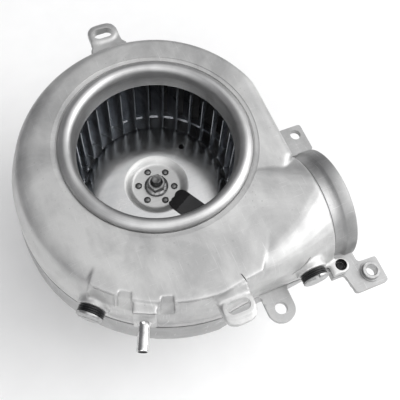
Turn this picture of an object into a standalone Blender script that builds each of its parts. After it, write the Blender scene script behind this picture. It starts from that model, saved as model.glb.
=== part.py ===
"""Centrifugal blower for a boiler: a cast scroll housing, a forward-curved wheel and its motor.

The wheel turns about Z. The inlet faces up, the outlet faces +X, and the origin is the centre of
the flat rear face of the motor, on which the blower stands. Lengths are written in millimetres and
heights are measured from the flat top of the housing, which lies HOUSING_TOP above the origin.
"""

import math

import bmesh
import bpy
from mathutils import Matrix, Vector

MM = 0.001
HOUSING_TOP = 110.0
GAP = 0.3
COLLECTION = "boiler_blower"

# Scroll housing
SCROLL_ANGLES = (0, 45, 90, 135, 180, 225, 270)
SCROLL_RADII = (68.0, 69.0, 70.5, 74.5, 79.5, 87.0, 92.0)
ANGLE_STEP = 9
SPLIT_Z = -30.0
SPLIT_HALF_GAP = 0.6
HOUSING_DEPTH = 63.0
WALL = 3.0
END_X = 68.0
NEAR_WALL_START = (22.0, -89.0)
TONGUE_ANGLE = -20.0
TONGUE_RADIUS = 62.0
DUCT_MIDDLE = (47.0, -50.0)
SHOULDER_STEP_ANGLE = 226.0
TIGHT_SHOULDER = 0.5
SOFT_SHOULDER = 1.6
NEAR_SHOULDER = 0.75

# Outlet
OUTLET_Y = -54.0
OUTLET_Z = -30.0
OUTLET_BORE = 27.8
NECK_RADIUS = 29.6
COLLAR_RADIUS = 31.0
COLLAR_START = 74.5
COLLAR_END = 81.0
CROWN_END = 66.0
CROWN_RADIUS = 31.8

# Inlet
DISH_RADIUS = 54.0
SEAT_RADIUS = 51.2
SEAT_HOLE = 46.6
RING_OUTER = 50.8
THROAT_RADIUS = 42.0
LIP_Z = -9.8

# Wheel
BLADES = 33
BLADE_PHASE = -1.6
BLADE_INNER = 43.0
BLADE_OUTER = 53.8
BLADE_TOP = -14.2
BLADE_BOTTOM = -55.2
BLADE_THICKNESS = 0.7
BAND_INNER = 50.6
BAND_THICKNESS = 0.6
PLATE_CREST = -49.3
PLATE_RIM = -55.5
RIM_RADIUS = 42.0
SEAT_TOP = -52.0
PLATE_THICKNESS = 1.0
RIVETS = 6
RIVET_CIRCLE = 10.5
RIVET_PHASE = -21.3
STUD_RADIUS = 3.0
SHAFT_RADIUS = 4.0

# Motor
MOTOR_HALF_WIDTH = 33.0
SCREW_SPACING = 25.5
PILLAR_BOTTOM = -66.0
SHIELD_TOP = -72.0
CORE_TOP = -77.3
CORE_BOTTOM = -100.7
REAR_FACE = -HOUSING_TOP
BEARING_RADIUS = 11.0
ROTOR_RADIUS = 17.6
POLE_BORE = 18.0
WINDOW_RADIUS = 27.0
COVER_SCREW_ANGLES = (30.0, 62.0, 98.0)
OUTLET_SCREW = (69.5, -89.8)
EAR_TOP = -26.0


# ---- Scene and materials ----------------------------------------------------------------------

def clear_scene():
    for item in list(bpy.data.objects):
        bpy.data.objects.remove(item, do_unlink=True)


def new_collection(name):
    collection = bpy.data.collections.new(name)
    bpy.context.scene.collection.children.link(collection)
    return collection


def principled(name, colour, roughness, metallic):
    material = bpy.data.materials.new(name)
    material.use_nodes = True
    shader = material.node_tree.nodes["Principled BSDF"]
    shader.inputs["Base Color"].default_value = (*colour, 1.0)
    shader.inputs["Roughness"].default_value = roughness
    shader.inputs["Metallic"].default_value = metallic
    return material


# ---- Shapes -----------------------------------------------------------------------------------

def at(x, y, z):
    """A point of the housing's frame, in the scene's metres."""
    return Vector((x * MM, y * MM, (z + HOUSING_TOP) * MM))


def polar(radius, angle):
    """Plan position at a radius and an angle in degrees, anticlockwise from the outlet side."""
    turn = math.radians(angle)
    return (radius * math.cos(turn), radius * math.sin(turn))


def finish_mesh(name, bm, material, collection):
    bmesh.ops.recalc_face_normals(bm, faces=bm.faces)
    mesh = bpy.data.meshes.new(name)
    bm.to_mesh(mesh)
    bm.free()
    mesh.shade_smooth()
    mesh.set_sharp_from_angle(angle=math.radians(35))
    mesh.materials.append(material)
    node = bpy.data.objects.new(name, mesh)
    collection.objects.link(node)
    return node


def box(name, low, high, material, collection, angle=0.0):
    """A box between two corners, turned about the wheel's axis."""
    bm = bmesh.new()
    bmesh.ops.create_cube(bm, size=1.0)
    size = [(b - a) * MM for a, b in zip(low, high)]
    bmesh.ops.scale(bm, vec=size, verts=bm.verts)
    middle = at(*[(a + b) / 2 for a, b in zip(low, high)])
    bmesh.ops.translate(bm, vec=middle, verts=bm.verts)
    turn = Matrix.Rotation(math.radians(angle), 3, "Z")
    bmesh.ops.rotate(bm, cent=(0, 0, 0), matrix=turn, verts=bm.verts)
    return finish_mesh(name, bm, material, collection)


def rod(name, start, end, radius, material, collection, segments=20):
    """A round rod between two points."""
    bm = bmesh.new()
    first = at(*start)
    second = at(*end)
    along = second - first
    turn = Vector((0, 0, 1)).rotation_difference(along).to_matrix().to_4x4()
    bmesh.ops.create_cone(
        bm,
        cap_ends=True,
        segments=segments,
        radius1=radius * MM,
        radius2=radius * MM,
        depth=along.length,
        matrix=Matrix.Translation((first + second) / 2) @ turn,
    )
    return finish_mesh(name, bm, material, collection)


def turned(name, profile, material, collection, steps=32, closed=False, place=None):
    """A turned body: the profile runs down its outer side, as radius and height pairs."""
    bm = bmesh.new()
    verts = [bm.verts.new((radius * MM, 0, height * MM)) for radius, height in profile]
    pairs = list(zip(verts, verts[1:]))
    if closed:
        pairs.append((verts[-1], verts[0]))
    for pair in pairs:
        bm.edges.new(pair)
    mesh = bpy.data.meshes.new(name)
    bm.to_mesh(mesh)
    bm.free()
    mesh.materials.append(material)
    node = bpy.data.objects.new(name, mesh)
    node.location = at(0, 0, 0)
    if place is not None:
        node.matrix_world = place
    collection.objects.link(node)
    screw = node.modifiers.new("turn", "SCREW")
    screw.steps = steps
    screw.render_steps = steps
    screw.use_merge_vertices = True
    screw.merge_threshold = 0.00001
    screw.use_smooth_shade = False
    return node


def tube_profile(inner, outer, top, bottom):
    return [(outer, top), (outer, bottom), (inner, bottom), (inner, top)]


def slab(name, outline, top, bottom, material, collection):
    """A flat outline given its thickness."""
    curve = bpy.data.curves.new(name, "CURVE")
    curve.dimensions = "2D"
    curve.fill_mode = "BOTH"
    curve.extrude = (top - bottom) * MM / 2
    spline = curve.splines.new("POLY")
    spline.points.add(len(outline) - 1)
    for point, (x, y) in zip(spline.points, outline):
        point.co = (x * MM, y * MM, 0, 1)
    spline.use_cyclic_u = True
    guide = bpy.data.objects.new(name + "_outline", curve)
    guide.location = at(0, 0, (top + bottom) / 2)
    collection.objects.link(guide)
    bpy.context.view_layer.update()
    graph = bpy.context.evaluated_depsgraph_get()
    mesh = bpy.data.meshes.new_from_object(guide.evaluated_get(graph))
    bm = bmesh.new()
    bm.from_mesh(mesh)
    bmesh.ops.remove_doubles(bm, verts=bm.verts, dist=0.000001)
    bmesh.ops.transform(bm, matrix=guide.matrix_world, verts=bm.verts)
    bpy.data.objects.remove(guide, do_unlink=True)
    bpy.data.meshes.remove(mesh)
    return finish_mesh(name, bm, material, collection)


def loft(name, rings, material, collection):
    """A closed body through rings that have the same number of points."""
    bm = bmesh.new()
    loops = [[bm.verts.new(at(*point)) for point in ring] for ring in rings]
    for lower, upper in zip(loops, loops[1:]):
        for i in range(len(lower)):
            j = (i + 1) % len(lower)
            bm.faces.new((lower[i], lower[j], upper[j], upper[i]))
    bm.faces.new(loops[0])
    bm.faces.new(loops[-1])
    return finish_mesh(name, bm, material, collection)


def combine(target, tool, operation):
    modifier = target.modifiers.new(tool.name, "BOOLEAN")
    modifier.operation = operation
    modifier.object = tool
    modifier.solver = "EXACT"
    tool.hide_render = True
    tool.display_type = "WIRE"


def rounded_outline(corners, radii, steps=3):
    """An outline with each corner rounded to its own radius."""
    points = []
    count = len(corners)
    for i in range(count):
        corner = Vector(corners[i])
        before = (Vector(corners[i - 1]) - corner).normalized()
        after = (Vector(corners[(i + 1) % count]) - corner).normalized()
        radius = radii[i]
        if radius == 0:
            points.append(tuple(corner))
            continue
        half = before.angle(after) / 2
        centre = corner + (before + after).normalized() * radius / math.sin(half)
        start = corner + before * radius / math.tan(half) - centre
        end = corner + after * radius / math.tan(half) - centre
        sweep = start.angle_signed(end)
        for k in range(steps + 1):
            turn = -sweep * k / steps
            points.append(tuple(centre + Matrix.Rotation(turn, 2) @ start))
    return points


def capsule_outline(x, y, length, width, steps=4):
    """A slot or pad with round ends, its length along X."""
    radius = width / 2
    reach = length / 2 - radius
    points = []
    for k in range(2 * steps + 1):
        px, py = polar(radius, -90 + 90 * k / steps)
        points.append((x + reach + px, y + py))
    for k in range(2 * steps + 1):
        px, py = polar(radius, 90 + 90 * k / steps)
        points.append((x - reach + px, y + py))
    return points


# ---- Housing outline --------------------------------------------------------------------------

def scroll_radius(angle):
    """Outer radius of the scroll at the split, by a Catmull-Rom curve through the key radii."""
    step = SCROLL_ANGLES[1] - SCROLL_ANGLES[0]
    last = len(SCROLL_RADII) - 1
    index = min(int(angle // step), last - 1)
    t = angle / step - index
    p0 = SCROLL_RADII[max(index - 1, 0)]
    p1 = SCROLL_RADII[index]
    p2 = SCROLL_RADII[index + 1]
    p3 = SCROLL_RADII[min(index + 2, last)]
    return 0.5 * (
        2 * p1
        + (p2 - p0) * t
        + (2 * p0 - 5 * p1 + 4 * p2 - p3) * t ** 2
        + (3 * p1 - p0 - 3 * p2 + p3) * t ** 3
    )


def shoulder(angle):
    """How soft the top edge is: tight behind the outlet, softest on the left, crisp along the near side."""
    if angle > SHOULDER_STEP_ANGLE:
        return NEAR_SHOULDER
    share = min(max((angle - 60) / 90, 0.0), 1.0)
    blend = share * share * (3 - 2 * share)
    return TIGHT_SHOULDER + (SOFT_SHOULDER - TIGHT_SHOULDER) * blend


def scroll_angles():
    angles = list(range(0, 271, ANGLE_STEP))
    angles.append(SHOULDER_STEP_ANGLE - 0.4)
    angles.append(SHOULDER_STEP_ANGLE + 0.4)
    return sorted(angles)


def outer_outline(inset, soften):
    """Plan outline of the scroll, moved inwards; it ends on a diagonal inside the outlet duct."""
    points = []
    for angle in scroll_angles():
        inward = inset * (shoulder(angle) if soften else 1.0)
        x, y = polar(scroll_radius(angle) - inward, angle)
        points.append((min(x, END_X - inset), y))
    points.append((NEAR_WALL_START[0] / 2, NEAR_WALL_START[1] - 1.2 + inset))
    points.append((NEAR_WALL_START[0], NEAR_WALL_START[1] + inset))
    points.append((END_X - inset, -31.0))
    return points


def stacked(name, outline, levels, material, collection):
    """A body through level outlines, given as height, inset and whether the far edge is softer."""
    rings = []
    for height, inset, soften in levels:
        rings.append([(x, y, height) for x, y in outline(inset, soften)])
    return loft(name, rings, material, collection)


def cavity_outline(inset, soften):
    """Plan outline of the air space, from the tongue round to the outlet duct."""
    points = []
    tip_radius = TONGUE_RADIUS - 0.2 * inset
    for k in range(3):
        share = k / 3
        radius = tip_radius + (scroll_radius(0) - inset - tip_radius) * share
        points.append(polar(radius, TONGUE_ANGLE * (1 - share)))
    for angle in scroll_angles():
        inward = inset * (shoulder(angle) if soften else 1.0)
        points.append(polar(scroll_radius(angle) - inward, angle))
    points.append((NEAR_WALL_START[0] / 2, NEAR_WALL_START[1] - 1.2 + inset))
    points.append((NEAR_WALL_START[0], NEAR_WALL_START[1] + inset + 0.6))
    points.append(DUCT_MIDDLE)
    return points


def duct_ring(x, half_width, half_height, corner, steps=4):
    """A rounded rectangle across the outlet duct; with corner equal to both halves it is a circle."""
    points = []
    for quarter in range(4):
        side_y = (1, -1, -1, 1)[quarter]
        side_z = (1, 1, -1, -1)[quarter]
        for k in range(steps + 1):
            turn = math.radians(90 * quarter + 90 * k / steps)
            y = side_y * (half_width - corner) + corner * math.cos(turn)
            z = side_z * (half_height - corner) + corner * math.sin(turn)
            points.append((x, OUTLET_Y + y, OUTLET_Z + z))
    return points


def outer_duct(name, material, collection):
    rings = []
    for x, half_width, half_height, corner in (
        (12.0, 32.0, 28.2, 9.0),
        (24.0, 33.2, 29.4, 10.0),
        (38.0, 33.4, 30.3, 15.0),
        (50.0, 33.2, 31.0, 21.0),
        (59.0, 32.6, 31.5, 27.5),
        (CROWN_END, CROWN_RADIUS, CROWN_RADIUS, CROWN_RADIUS - 0.4),
        (67.4, 31.0, 31.0, 30.6),
        (END_X, NECK_RADIUS, NECK_RADIUS, NECK_RADIUS - 0.4),
    ):
        rings.append(duct_ring(x, half_width, half_height, corner))
    return loft(name, rings, material, collection)


def inner_duct(name, material, collection):
    rings = []
    for x, half_width, half_height, corner in (
        (4.0, 28.0, 26.0, 8.0),
        (20.0, 29.8, 26.8, 10.0),
        (42.0, 29.8, 27.2, 17.0),
        (56.0, 28.8, 27.8, 24.0),
        (64.0, OUTLET_BORE, OUTLET_BORE, OUTLET_BORE - 0.4),
        (COLLAR_END + 5.0, OUTLET_BORE, OUTLET_BORE, OUTLET_BORE - 0.4),
    ):
        rings.append(duct_ring(x, half_width, half_height, corner))
    return loft(name, rings, material, collection)


COVER_LEVELS = (
    (0.0, 9.0, True),
    (-0.3, 7.0, True),
    (-1.6, 4.5, True),
    (-5.0, 2.8, True),
    (-15.0, 1.5, False),
    (SPLIT_Z + SPLIT_HALF_GAP, 0.4, False),
)
BODY_LEVELS = (
    (SPLIT_Z - SPLIT_HALF_GAP, 0.4, False),
    (-42.0, -0.8, False),
    (-50.0, -0.8, False),
    (-56.0, 1.0, False),
    (-60.8, 5.2, False),
    (-HOUSING_DEPTH, 12.0, False),
)
CAVITY_LEVELS = (
    (-WALL, 10.5, True),
    (-6.0, 6.2, True),
    (SPLIT_Z, 3.4, False),
    (-46.0, 2.8, False),
    (-54.0, 4.4, False),
    (-HOUSING_DEPTH + WALL, 11.5, False),
)


# ---- Housing ----------------------------------------------------------------------------------

def half_space(name, above, material, tools):
    if above:
        return box(name, (-200, -200, SPLIT_Z + SPLIT_HALF_GAP), (200, 200, 20), material, tools)
    return box(name, (-200, -200, -90), (200, 200, SPLIT_Z - SPLIT_HALF_GAP), material, tools)


def screw_places():
    """Plan positions of the screws that hold the two halves together."""
    places = [polar(scroll_radius(angle) + 4.7, angle) for angle in COVER_SCREW_ANGLES]
    return places + [OUTLET_SCREW]


def add_ears(target, name, bottom, top, material, tools):
    """A round ear for each screw, and the web that joins it to the wall."""
    for index, (x, y) in enumerate(screw_places()):
        ear = rod(f"{name}_ear_{index}", (x, y, bottom), (x, y, top), 4.8, material, tools, 16)
        combine(target, ear, "UNION")
    low = bottom + 0.2
    high = top - 0.2
    for index, angle in enumerate(COVER_SCREW_ANGLES):
        radius = scroll_radius(angle)
        span = ((radius - 2.4, -4.4, low), (radius + 4.7, 4.4, high))
        web = box(f"{name}_web_{index}", *span, material, tools, angle)
        combine(target, web, "UNION")
    x, y = OUTLET_SCREW
    web = box(name + "_outlet_web", (63.5, y - 4.4, low), (x, y + 4.4, high), material, tools)
    combine(target, web, "UNION")


def slotted_lug(target, name, corners, radii, top, slot, material, tools):
    """A flat lug with a raised rim round its slot."""
    outline = rounded_outline(corners, radii)
    combine(target, slab(name, outline, top, top - 3.6, material, tools), "UNION")
    x, y, length, width = slot
    rim = capsule_outline(x, y, length + 4.4, width + 4.4)
    combine(target, slab(name + "_rim", rim, top + 0.9, top - 2.0, material, tools), "UNION")
    hole = capsule_outline(x, y, length, width)
    return slab(name + "_slot", hole, top + 5, top - 8, material, tools)


def make_cover(material, parts, tools):
    cover = stacked("volute_cover", outer_outline, COVER_LEVELS, material, parts)
    duct = outer_duct("cover_duct", material, tools)
    combine(duct, half_space("above_split", True, material, tools), "INTERSECT")
    combine(cover, duct, "UNION")
    add_ears(cover, "cover", SPLIT_Z + SPLIT_HALF_GAP, EAR_TOP, material, tools)
    rear_corners = (
        (-11.2, 62), (10.4, 62), (10.0, 73.4), (8.0, 75.4),
        (7.8, 90), (-9.3, 90), (-9.7, 75.2), (-11.4, 73.2),
    )
    near_corners = ((-4.0, -103.4), (13.2, -103.4), (13.2, -80), (-4.0, -80))
    slots = [
        slotted_lug(
            cover, "rear_lug", rear_corners, (0, 0, 1, 1, 6, 6, 1, 1), -8.6, (-1.0, 82.3, 11.0, 6.5),
            material, tools,
        ),
        slotted_lug(
            cover, "near_lug", near_corners, (6, 6, 0, 0), -4.6, (4.9, -95.2, 12.0, 6.3), material, tools,
        ),
    ]
    pad = box("nipple_pad", (83.0, -5.8, -23.5), (91.0, 5.8, -1.6), material, tools, angle=-114.6)
    combine(cover, pad, "UNION")
    for name, place in plug_places().items():
        boss = rod(name + "_boss", *plug_span(place, -5.0, 0.0), 8.2, material, tools)
        combine(cover, boss, "UNION")
    seat = turned("seat_boss", tube_profile(SEAT_HOLE, 55.0, -2.4, -5.0), material, tools, 40, True)
    cavity = stacked("cover_cavity", cavity_outline, CAVITY_LEVELS, material, tools)
    combine(cover, cavity, "DIFFERENCE")
    combine(cover, inner_duct("cover_duct_bore", material, tools), "DIFFERENCE")
    combine(cover, seat, "UNION")
    dish = [(0, 5), (60, 5), (60, 0.9), (DISH_RADIUS, 0), (SEAT_RADIUS, -0.7), (SEAT_RADIUS, -2.0),
            (SEAT_HOLE, -2.0), (SEAT_HOLE, -9), (0, -9)]
    combine(cover, turned("inlet_opening", dish, material, tools, 40), "DIFFERENCE")
    for slot in slots:
        combine(cover, slot, "DIFFERENCE")
    for angle in (-121.6, -107.6):
        x, y = polar(scroll_radius(360 + angle) - 1.6, angle)
        flute = rod(f"flute{angle}", (x, y, -4.5), (x, y, 3), 3.3, material, tools)
        combine(cover, flute, "DIFFERENCE")
    for index, (x, y) in enumerate(screw_places()):
        hole = rod(f"cover_thread_{index}", (x, y, -34), (x, y, -20), 2.3, material, tools, 10)
        combine(cover, hole, "DIFFERENCE")
    nipple_x, nipple_y = polar(80.0, -114.6)
    end_x, end_y = polar(95.0, -114.6)
    tap = rod("nipple_bore", (nipple_x, nipple_y, -14), (end_x, end_y, -14), 3.3, material, tools)
    combine(cover, tap, "DIFFERENCE")
    for name, place in plug_places().items():
        hole = rod(name + "_hole", *plug_span(place, -12.0, 4.0), 4.6, material, tools)
        combine(cover, hole, "DIFFERENCE")
    return cover


def make_body(material, parts, tools):
    body = stacked("volute_body", outer_outline, BODY_LEVELS, material, parts)
    duct = outer_duct("body_duct", material, tools)
    combine(duct, half_space("below_split", False, material, tools), "INTERSECT")
    combine(body, duct, "UNION")
    axis = (OUTLET_Y, OUTLET_Z)
    neck_end = COLLAR_START + 1
    neck = rod("outlet_neck", (END_X + GAP, *axis), (neck_end, *axis), NECK_RADIUS, material, tools, 32)
    collar = rod(
        "outlet_collar", (COLLAR_START, *axis), (COLLAR_END, *axis), COLLAR_RADIUS, material, tools, 32,
    )
    root = rod("neck_root", (END_X - 1, *axis), (END_X + 2, *axis), NECK_RADIUS - 0.2, material, tools, 32)
    combine(root, half_space("below_root", False, material, tools), "INTERSECT")
    combine(neck, collar, "UNION")
    combine(neck, root, "UNION")
    combine(body, neck, "UNION")
    top = SPLIT_Z - SPLIT_HALF_GAP
    round_corners = ((23.2, -106.0), (38.0, -106.0), (38.0, -80), (23.2, -80))
    lug_outlines = {
        "round_lug": rounded_outline(round_corners, (7.3, 7.3, 0, 0)),
        "outlet_bracket": rounded_outline(
            ((58, -82), (58, -88), (69.5, -93), (71.5, -106.2), (90.4, -106.2), (90.4, -91.5),
             (79.5, -91.0), (79.5, -80)), (0, 3, 7, 1.5, 1.5, 1, 2, 0)),
        "far_lug": rounded_outline(((60, -20.5), (89.0, -20.5), (89.0, -2.6), (60, -2.6)), (0, 1.5, 1.5, 0)),
    }
    for name, outline in lug_outlines.items():
        combine(body, slab(name, outline, top, top - 3.2, material, tools), "UNION")
    bush_seat = rod("bush_seat", (83.6, -98.3, top - 3.2), (83.6, -98.3, top + 1.0), 5.6, material, tools)
    combine(body, bush_seat, "UNION")
    add_ears(body, "body", -36.0, top, material, tools)
    for index, (x, y) in enumerate(motor_screw_places()):
        pillar = rod(f"pillar_{index}", (x, y, PILLAR_BOTTOM), (x, y, -61), 6.0, material, tools, 14)
        combine(body, pillar, "UNION")
    cavity = stacked("body_cavity", cavity_outline, CAVITY_LEVELS, material, tools)
    combine(body, cavity, "DIFFERENCE")
    combine(body, inner_duct("body_duct_bore", material, tools), "DIFFERENCE")
    combine(body, rod("shaft_hole", (0, 0, -75), (0, 0, -55), 9.0, material, tools), "DIFFERENCE")
    for name, x, y, radius in (
        ("round_lug_hole", 30.6, -98.4, 3.3),
        ("bush_hole", 83.6, -98.3, 4.0),
        ("far_lug_hole", 83.6, -8.2, 3.1),
    ):
        combine(body, rod(name, (x, y, -40), (x, y, -20), radius, material, tools), "DIFFERENCE")
    for index, (x, y) in enumerate(screw_places()):
        hole = rod(f"body_screw_hole_{index}", (x, y, -40), (x, y, -25), 2.3, material, tools, 10)
        combine(body, hole, "DIFFERENCE")
    for index, (x, y) in enumerate(motor_screw_places()):
        hole = rod(f"pillar_hole_{index}", (x, y, -70), (x, y, -62), 2.0, material, tools, 10)
        combine(body, hole, "DIFFERENCE")
    return body


def make_gasket(material, parts):
    """A flat strip in the split; it stops on both sides of the outlet."""
    outer = [(END_X - 1.6, -26.0)]
    inner = [(END_X - 3.4, -26.0)]
    for angle in range(0, 271, ANGLE_STEP):
        radius = scroll_radius(angle)
        outer.append(polar(radius - 1.1, angle))
        inner.append(polar(radius - 2.8, angle))
    near_y = OUTLET_Y - 33.2
    near_side = (
        (NEAR_WALL_START[0] / 2, NEAR_WALL_START[1] - 1.2),
        NEAR_WALL_START,
        (46.0, near_y),
        (60.0, near_y + 0.9),
    )
    for x, y in near_side:
        outer.append((x, y + 1.1))
        inner.append((x, y + 2.8))
    top = SPLIT_Z + SPLIT_HALF_GAP - GAP
    bottom = SPLIT_Z - SPLIT_HALF_GAP + GAP
    return slab("housing_gasket", outer + inner[::-1], top, bottom, material, parts)


def make_inlet_ring(material, parts):
    profile = [
        (RING_OUTER, -0.2), (RING_OUTER, -1.7), (45.2, -1.7), (44.0, -5.0), (43.6, LIP_Z),
        (THROAT_RADIUS, LIP_Z), (42.1, -6.4), (42.7, -2.6), (43.8, 0.8), (45.4, 2.6), (47.2, 2.9),
        (49.2, 2.0),
    ]
    return turned("inlet_ring", profile, material, parts, 48, True)


# ---- Fittings on the housing ------------------------------------------------------------------

def plug_places():
    """Each plug's seat on the wall and the direction it faces, in degrees."""
    left = polar(88.6, -131.6)
    return {
        "left_plug": (left[0], left[1], -19.0, -131.6),
        "right_plug": (50.6, -89.6, -19.5, -90.0),
    }


def plug_span(place, start, end):
    x, y, z, angle = place
    first = polar(start, angle)
    last = polar(end, angle)
    return (x + first[0], y + first[1], z), (x + last[0], y + last[1], z)


def plug_frame(place):
    """Local Z along the plug, out of the housing."""
    x, y, z, angle = place
    along = Vector((*polar(1.0, angle), 0))
    return Matrix.Translation(at(x, y, z)) @ along.to_track_quat("Z", "Y").to_matrix().to_4x4()


def make_plug(side, rubber, steel, parts):
    place = plug_places()[side]
    sleeve = []
    for rib in range(3):
        top = 3.4 - 1.05 * rib
        sleeve += [(6.9, top), (6.9, top - 0.6), (6.2, top - 0.75), (6.2, top - 0.95)]
    sleeve += [(4.3, GAP), (4.3, -4.0), (2.5, -4.0), (2.5, 3.4)]
    turned(side + "_sleeve", sleeve, rubber, parts, 16, True, plug_frame(place))
    cap = [(0, 5.3), (6.2, 5.3), (6.9, 4.8), (6.9, 3.7), (2.2, 3.7), (2.2, -3.0), (0, -3.0)]
    turned(side + "_cap", cap, steel, parts, 20, False, plug_frame(place))


def make_nipple(material, parts):
    angle = -114.6
    direction = Vector((*polar(1.0, angle), 0))
    x, y = polar(91.0 + GAP, angle)
    place = Matrix.Translation(at(x, y, -14.0)) @ direction.to_track_quat("Z", "Y").to_matrix().to_4x4()
    profile = [
        (3.0, 14.6), (3.0, 2.2), (3.6, 1.2), (4.4, 0.6), (4.4, 0.0), (2.9, 0.0), (2.9, -6.0), (2.0, -6.0),
        (2.0, 14.6),
    ]
    turned("pressure_nipple", profile, material, parts, 16, True, place)


def make_bush(material, parts):
    top = SPLIT_Z - SPLIT_HALF_GAP
    profile = [
        (4.8, top + 2.9), (4.8, top + 1.0 + GAP), (3.7, top + 1.0 + GAP), (3.7, top - 3.2), (2.9, top - 3.2),
        (2.9, top + 2.9),
    ]
    place = Matrix.Translation(at(83.6, -98.3, 0))
    turned("bracket_bush", profile, material, parts, 20, True, place)


def make_cover_screws(material, parts, tools):
    for index, (x, y) in enumerate(screw_places(), start=1):
        screw = rod(f"cover_screw_{index}", (x, y, -39.4), (x, y, -36.3), 3.8, material, parts, 14)
        shank = rod(f"cover_shank_{index}", (x, y, -37), (x, y, -26.8), 2.0, material, tools, 8)
        socket = rod(f"cover_socket_{index}", (x, y, -41), (x, y, -37.9), 1.7, material, tools, 6)
        combine(screw, shank, "UNION")
        combine(screw, socket, "DIFFERENCE")


# ---- Wheel ------------------------------------------------------------------------------------

def blade_outline(angle):
    """A forward-curved blade section: it leans towards the direction of turning at its tip."""
    steps = 3
    front = []
    back = []
    for k in range(steps + 1):
        share = k / steps
        radius = BLADE_INNER + (BLADE_OUTER - 0.3 - BLADE_INNER) * share
        lean = -2.6 * share + 11.0 * share ** 2
        half = math.degrees(BLADE_THICKNESS / 2 / radius)
        front.append(polar(radius, angle + lean + half))
        back.append(polar(radius, angle + lean - half))
    return back + front[::-1]


def make_blade_strip(material, parts, tools):
    rim = turned(
        "wheel_blade_strip",
        tube_profile(BAND_INNER, BLADE_OUTER, BLADE_TOP, BLADE_TOP - BAND_THICKNESS),
        material, parts, 40, True,
    )
    foot = turned(
        "blade_foot",
        tube_profile(BAND_INNER, BLADE_OUTER, BLADE_BOTTOM + BAND_THICKNESS, BLADE_BOTTOM),
        material, tools, 40, True,
    )
    bm = bmesh.new()
    for index in range(BLADES):
        outline = blade_outline(BLADE_PHASE + index * 360 / BLADES)
        heights = (BLADE_BOTTOM + 0.25, BLADE_TOP - 0.25)
        loops = [[bm.verts.new(at(x, y, z)) for x, y in outline] for z in heights]
        count = len(outline)
        for i in range(count):
            j = (i + 1) % count
            bm.faces.new((loops[0][i], loops[0][j], loops[1][j], loops[1][i]))
        bm.faces.new(loops[0][::-1])
        bm.faces.new(loops[1])
    blades = finish_mesh("all_blades", bm, material, tools)
    combine(rim, foot, "UNION")
    combine(rim, blades, "UNION")


def rivet_places():
    return [polar(RIVET_CIRCLE, RIVET_PHASE + 360 * k / RIVETS) for k in range(RIVETS)]


def make_back_plate(material, parts, tools):
    """A recessed seat, a flat middle, a rounded shoulder and a flat rim under the blades."""
    upper = [
        (54.6, PLATE_RIM), (RIM_RADIUS, PLATE_RIM), (41.0, -52.6), (39.2, -50.2), (36.6, PLATE_CREST),
        (18.3, PLATE_CREST), (13.9, SEAT_TOP), (3.3, SEAT_TOP),
    ]
    lower = [(radius, height - PLATE_THICKNESS) for radius, height in upper]
    plate = turned("wheel_back_plate", upper[::-1] + lower, material, parts, 40, True)
    for index, (x, y) in enumerate(rivet_places()):
        hole = rod(f"plate_rivet_hole_{index}", (x, y, -60), (x, y, -45), 1.35, material, tools, 8)
        combine(plate, hole, "DIFFERENCE")
    x, y = polar(29.3, 38.2)
    combine(plate, rod("balance_hole", (x, y, -60), (x, y, -45), 1.6, material, tools, 16), "DIFFERENCE")


def make_hub(material, parts, tools):
    top = SEAT_TOP - PLATE_THICKNESS - GAP
    profile = [(13.5, top), (13.5, top - 2.0), (6.0, top - 2.0), (6.0, -60.0), (3.3, -60.0), (3.3, top)]
    hub = turned("wheel_hub", profile, material, parts, 24, True)
    for index, (x, y) in enumerate(rivet_places()):
        hole = rod(f"hub_rivet_hole_{index}", (x, y, -60), (x, y, -45), 1.35, material, tools, 8)
        combine(hub, hole, "DIFFERENCE")


def make_rivets(material, parts):
    low = SEAT_TOP - PLATE_THICKNESS - 2 * GAP - 2.0
    profile = [
        (0, SEAT_TOP + 1.3), (1.4, SEAT_TOP + 1.0), (2.0, SEAT_TOP + GAP), (1.05, SEAT_TOP + GAP),
        (1.05, low), (1.7, low), (1.7, low - 0.7), (0, low - 0.7),
    ]
    for index, (x, y) in enumerate(rivet_places(), start=1):
        turned(f"hub_rivet_{index}", profile, material, parts, 8, False, Matrix.Translation(at(x, y, 0)))


def make_nut(material, parts, tools):
    low = SEAT_TOP + GAP
    flange = turned(
        "wheel_nut",
        [(5.4, low + 1.5), (7.0, low + 0.6), (7.0, low), (3.3, low), (3.3, low + 1.5)],
        material, parts, 20, True,
    )
    hexagon = rod("nut_hexagon", (0, 0, low + 0.4), (0, 0, low + 5.2), 5.5, material, tools, 6)
    bore = rod("nut_bore", (0, 0, low - 1), (0, 0, low + 7), 3.3, material, tools)
    combine(flange, hexagon, "UNION")
    combine(flange, bore, "DIFFERENCE")


def make_balance_strip(material, parts):
    """A stuck-on strip along the back plate; its inner end hangs over the flank of the seat."""
    level = PLATE_CREST + GAP
    under = [(12.4, -49.8), (16.2, level), (35.0, level)]
    side = under + [(along, height + 0.6) for along, height in under[::-1]]
    turn = Matrix.Rotation(math.radians(-60.0), 2)
    rings = []
    for offset in (-6.3, 7.0):
        ring = []
        for along, height in side:
            x, y = turn @ Vector((along, offset))
            ring.append((x, y, height))
        rings.append(ring)
    loft("balance_strip", rings, material, parts)


def make_wheel(steel, zinc, black, parts, tools):
    make_blade_strip(steel, parts, tools)
    turned("wheel_front_ring", tube_profile(46.0, 54.6, -13.1, -13.9), steel, parts, 40, True)
    make_back_plate(steel, parts, tools)
    make_hub(steel, parts, tools)
    make_rivets(zinc, parts)
    make_nut(zinc, parts, tools)
    make_balance_strip(black, parts)


# ---- Motor ------------------------------------------------------------------------------------

def motor_screw_places():
    return [(x * SCREW_SPACING, y * SCREW_SPACING) for x in (-1, 1) for y in (-1, 1)]


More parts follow.
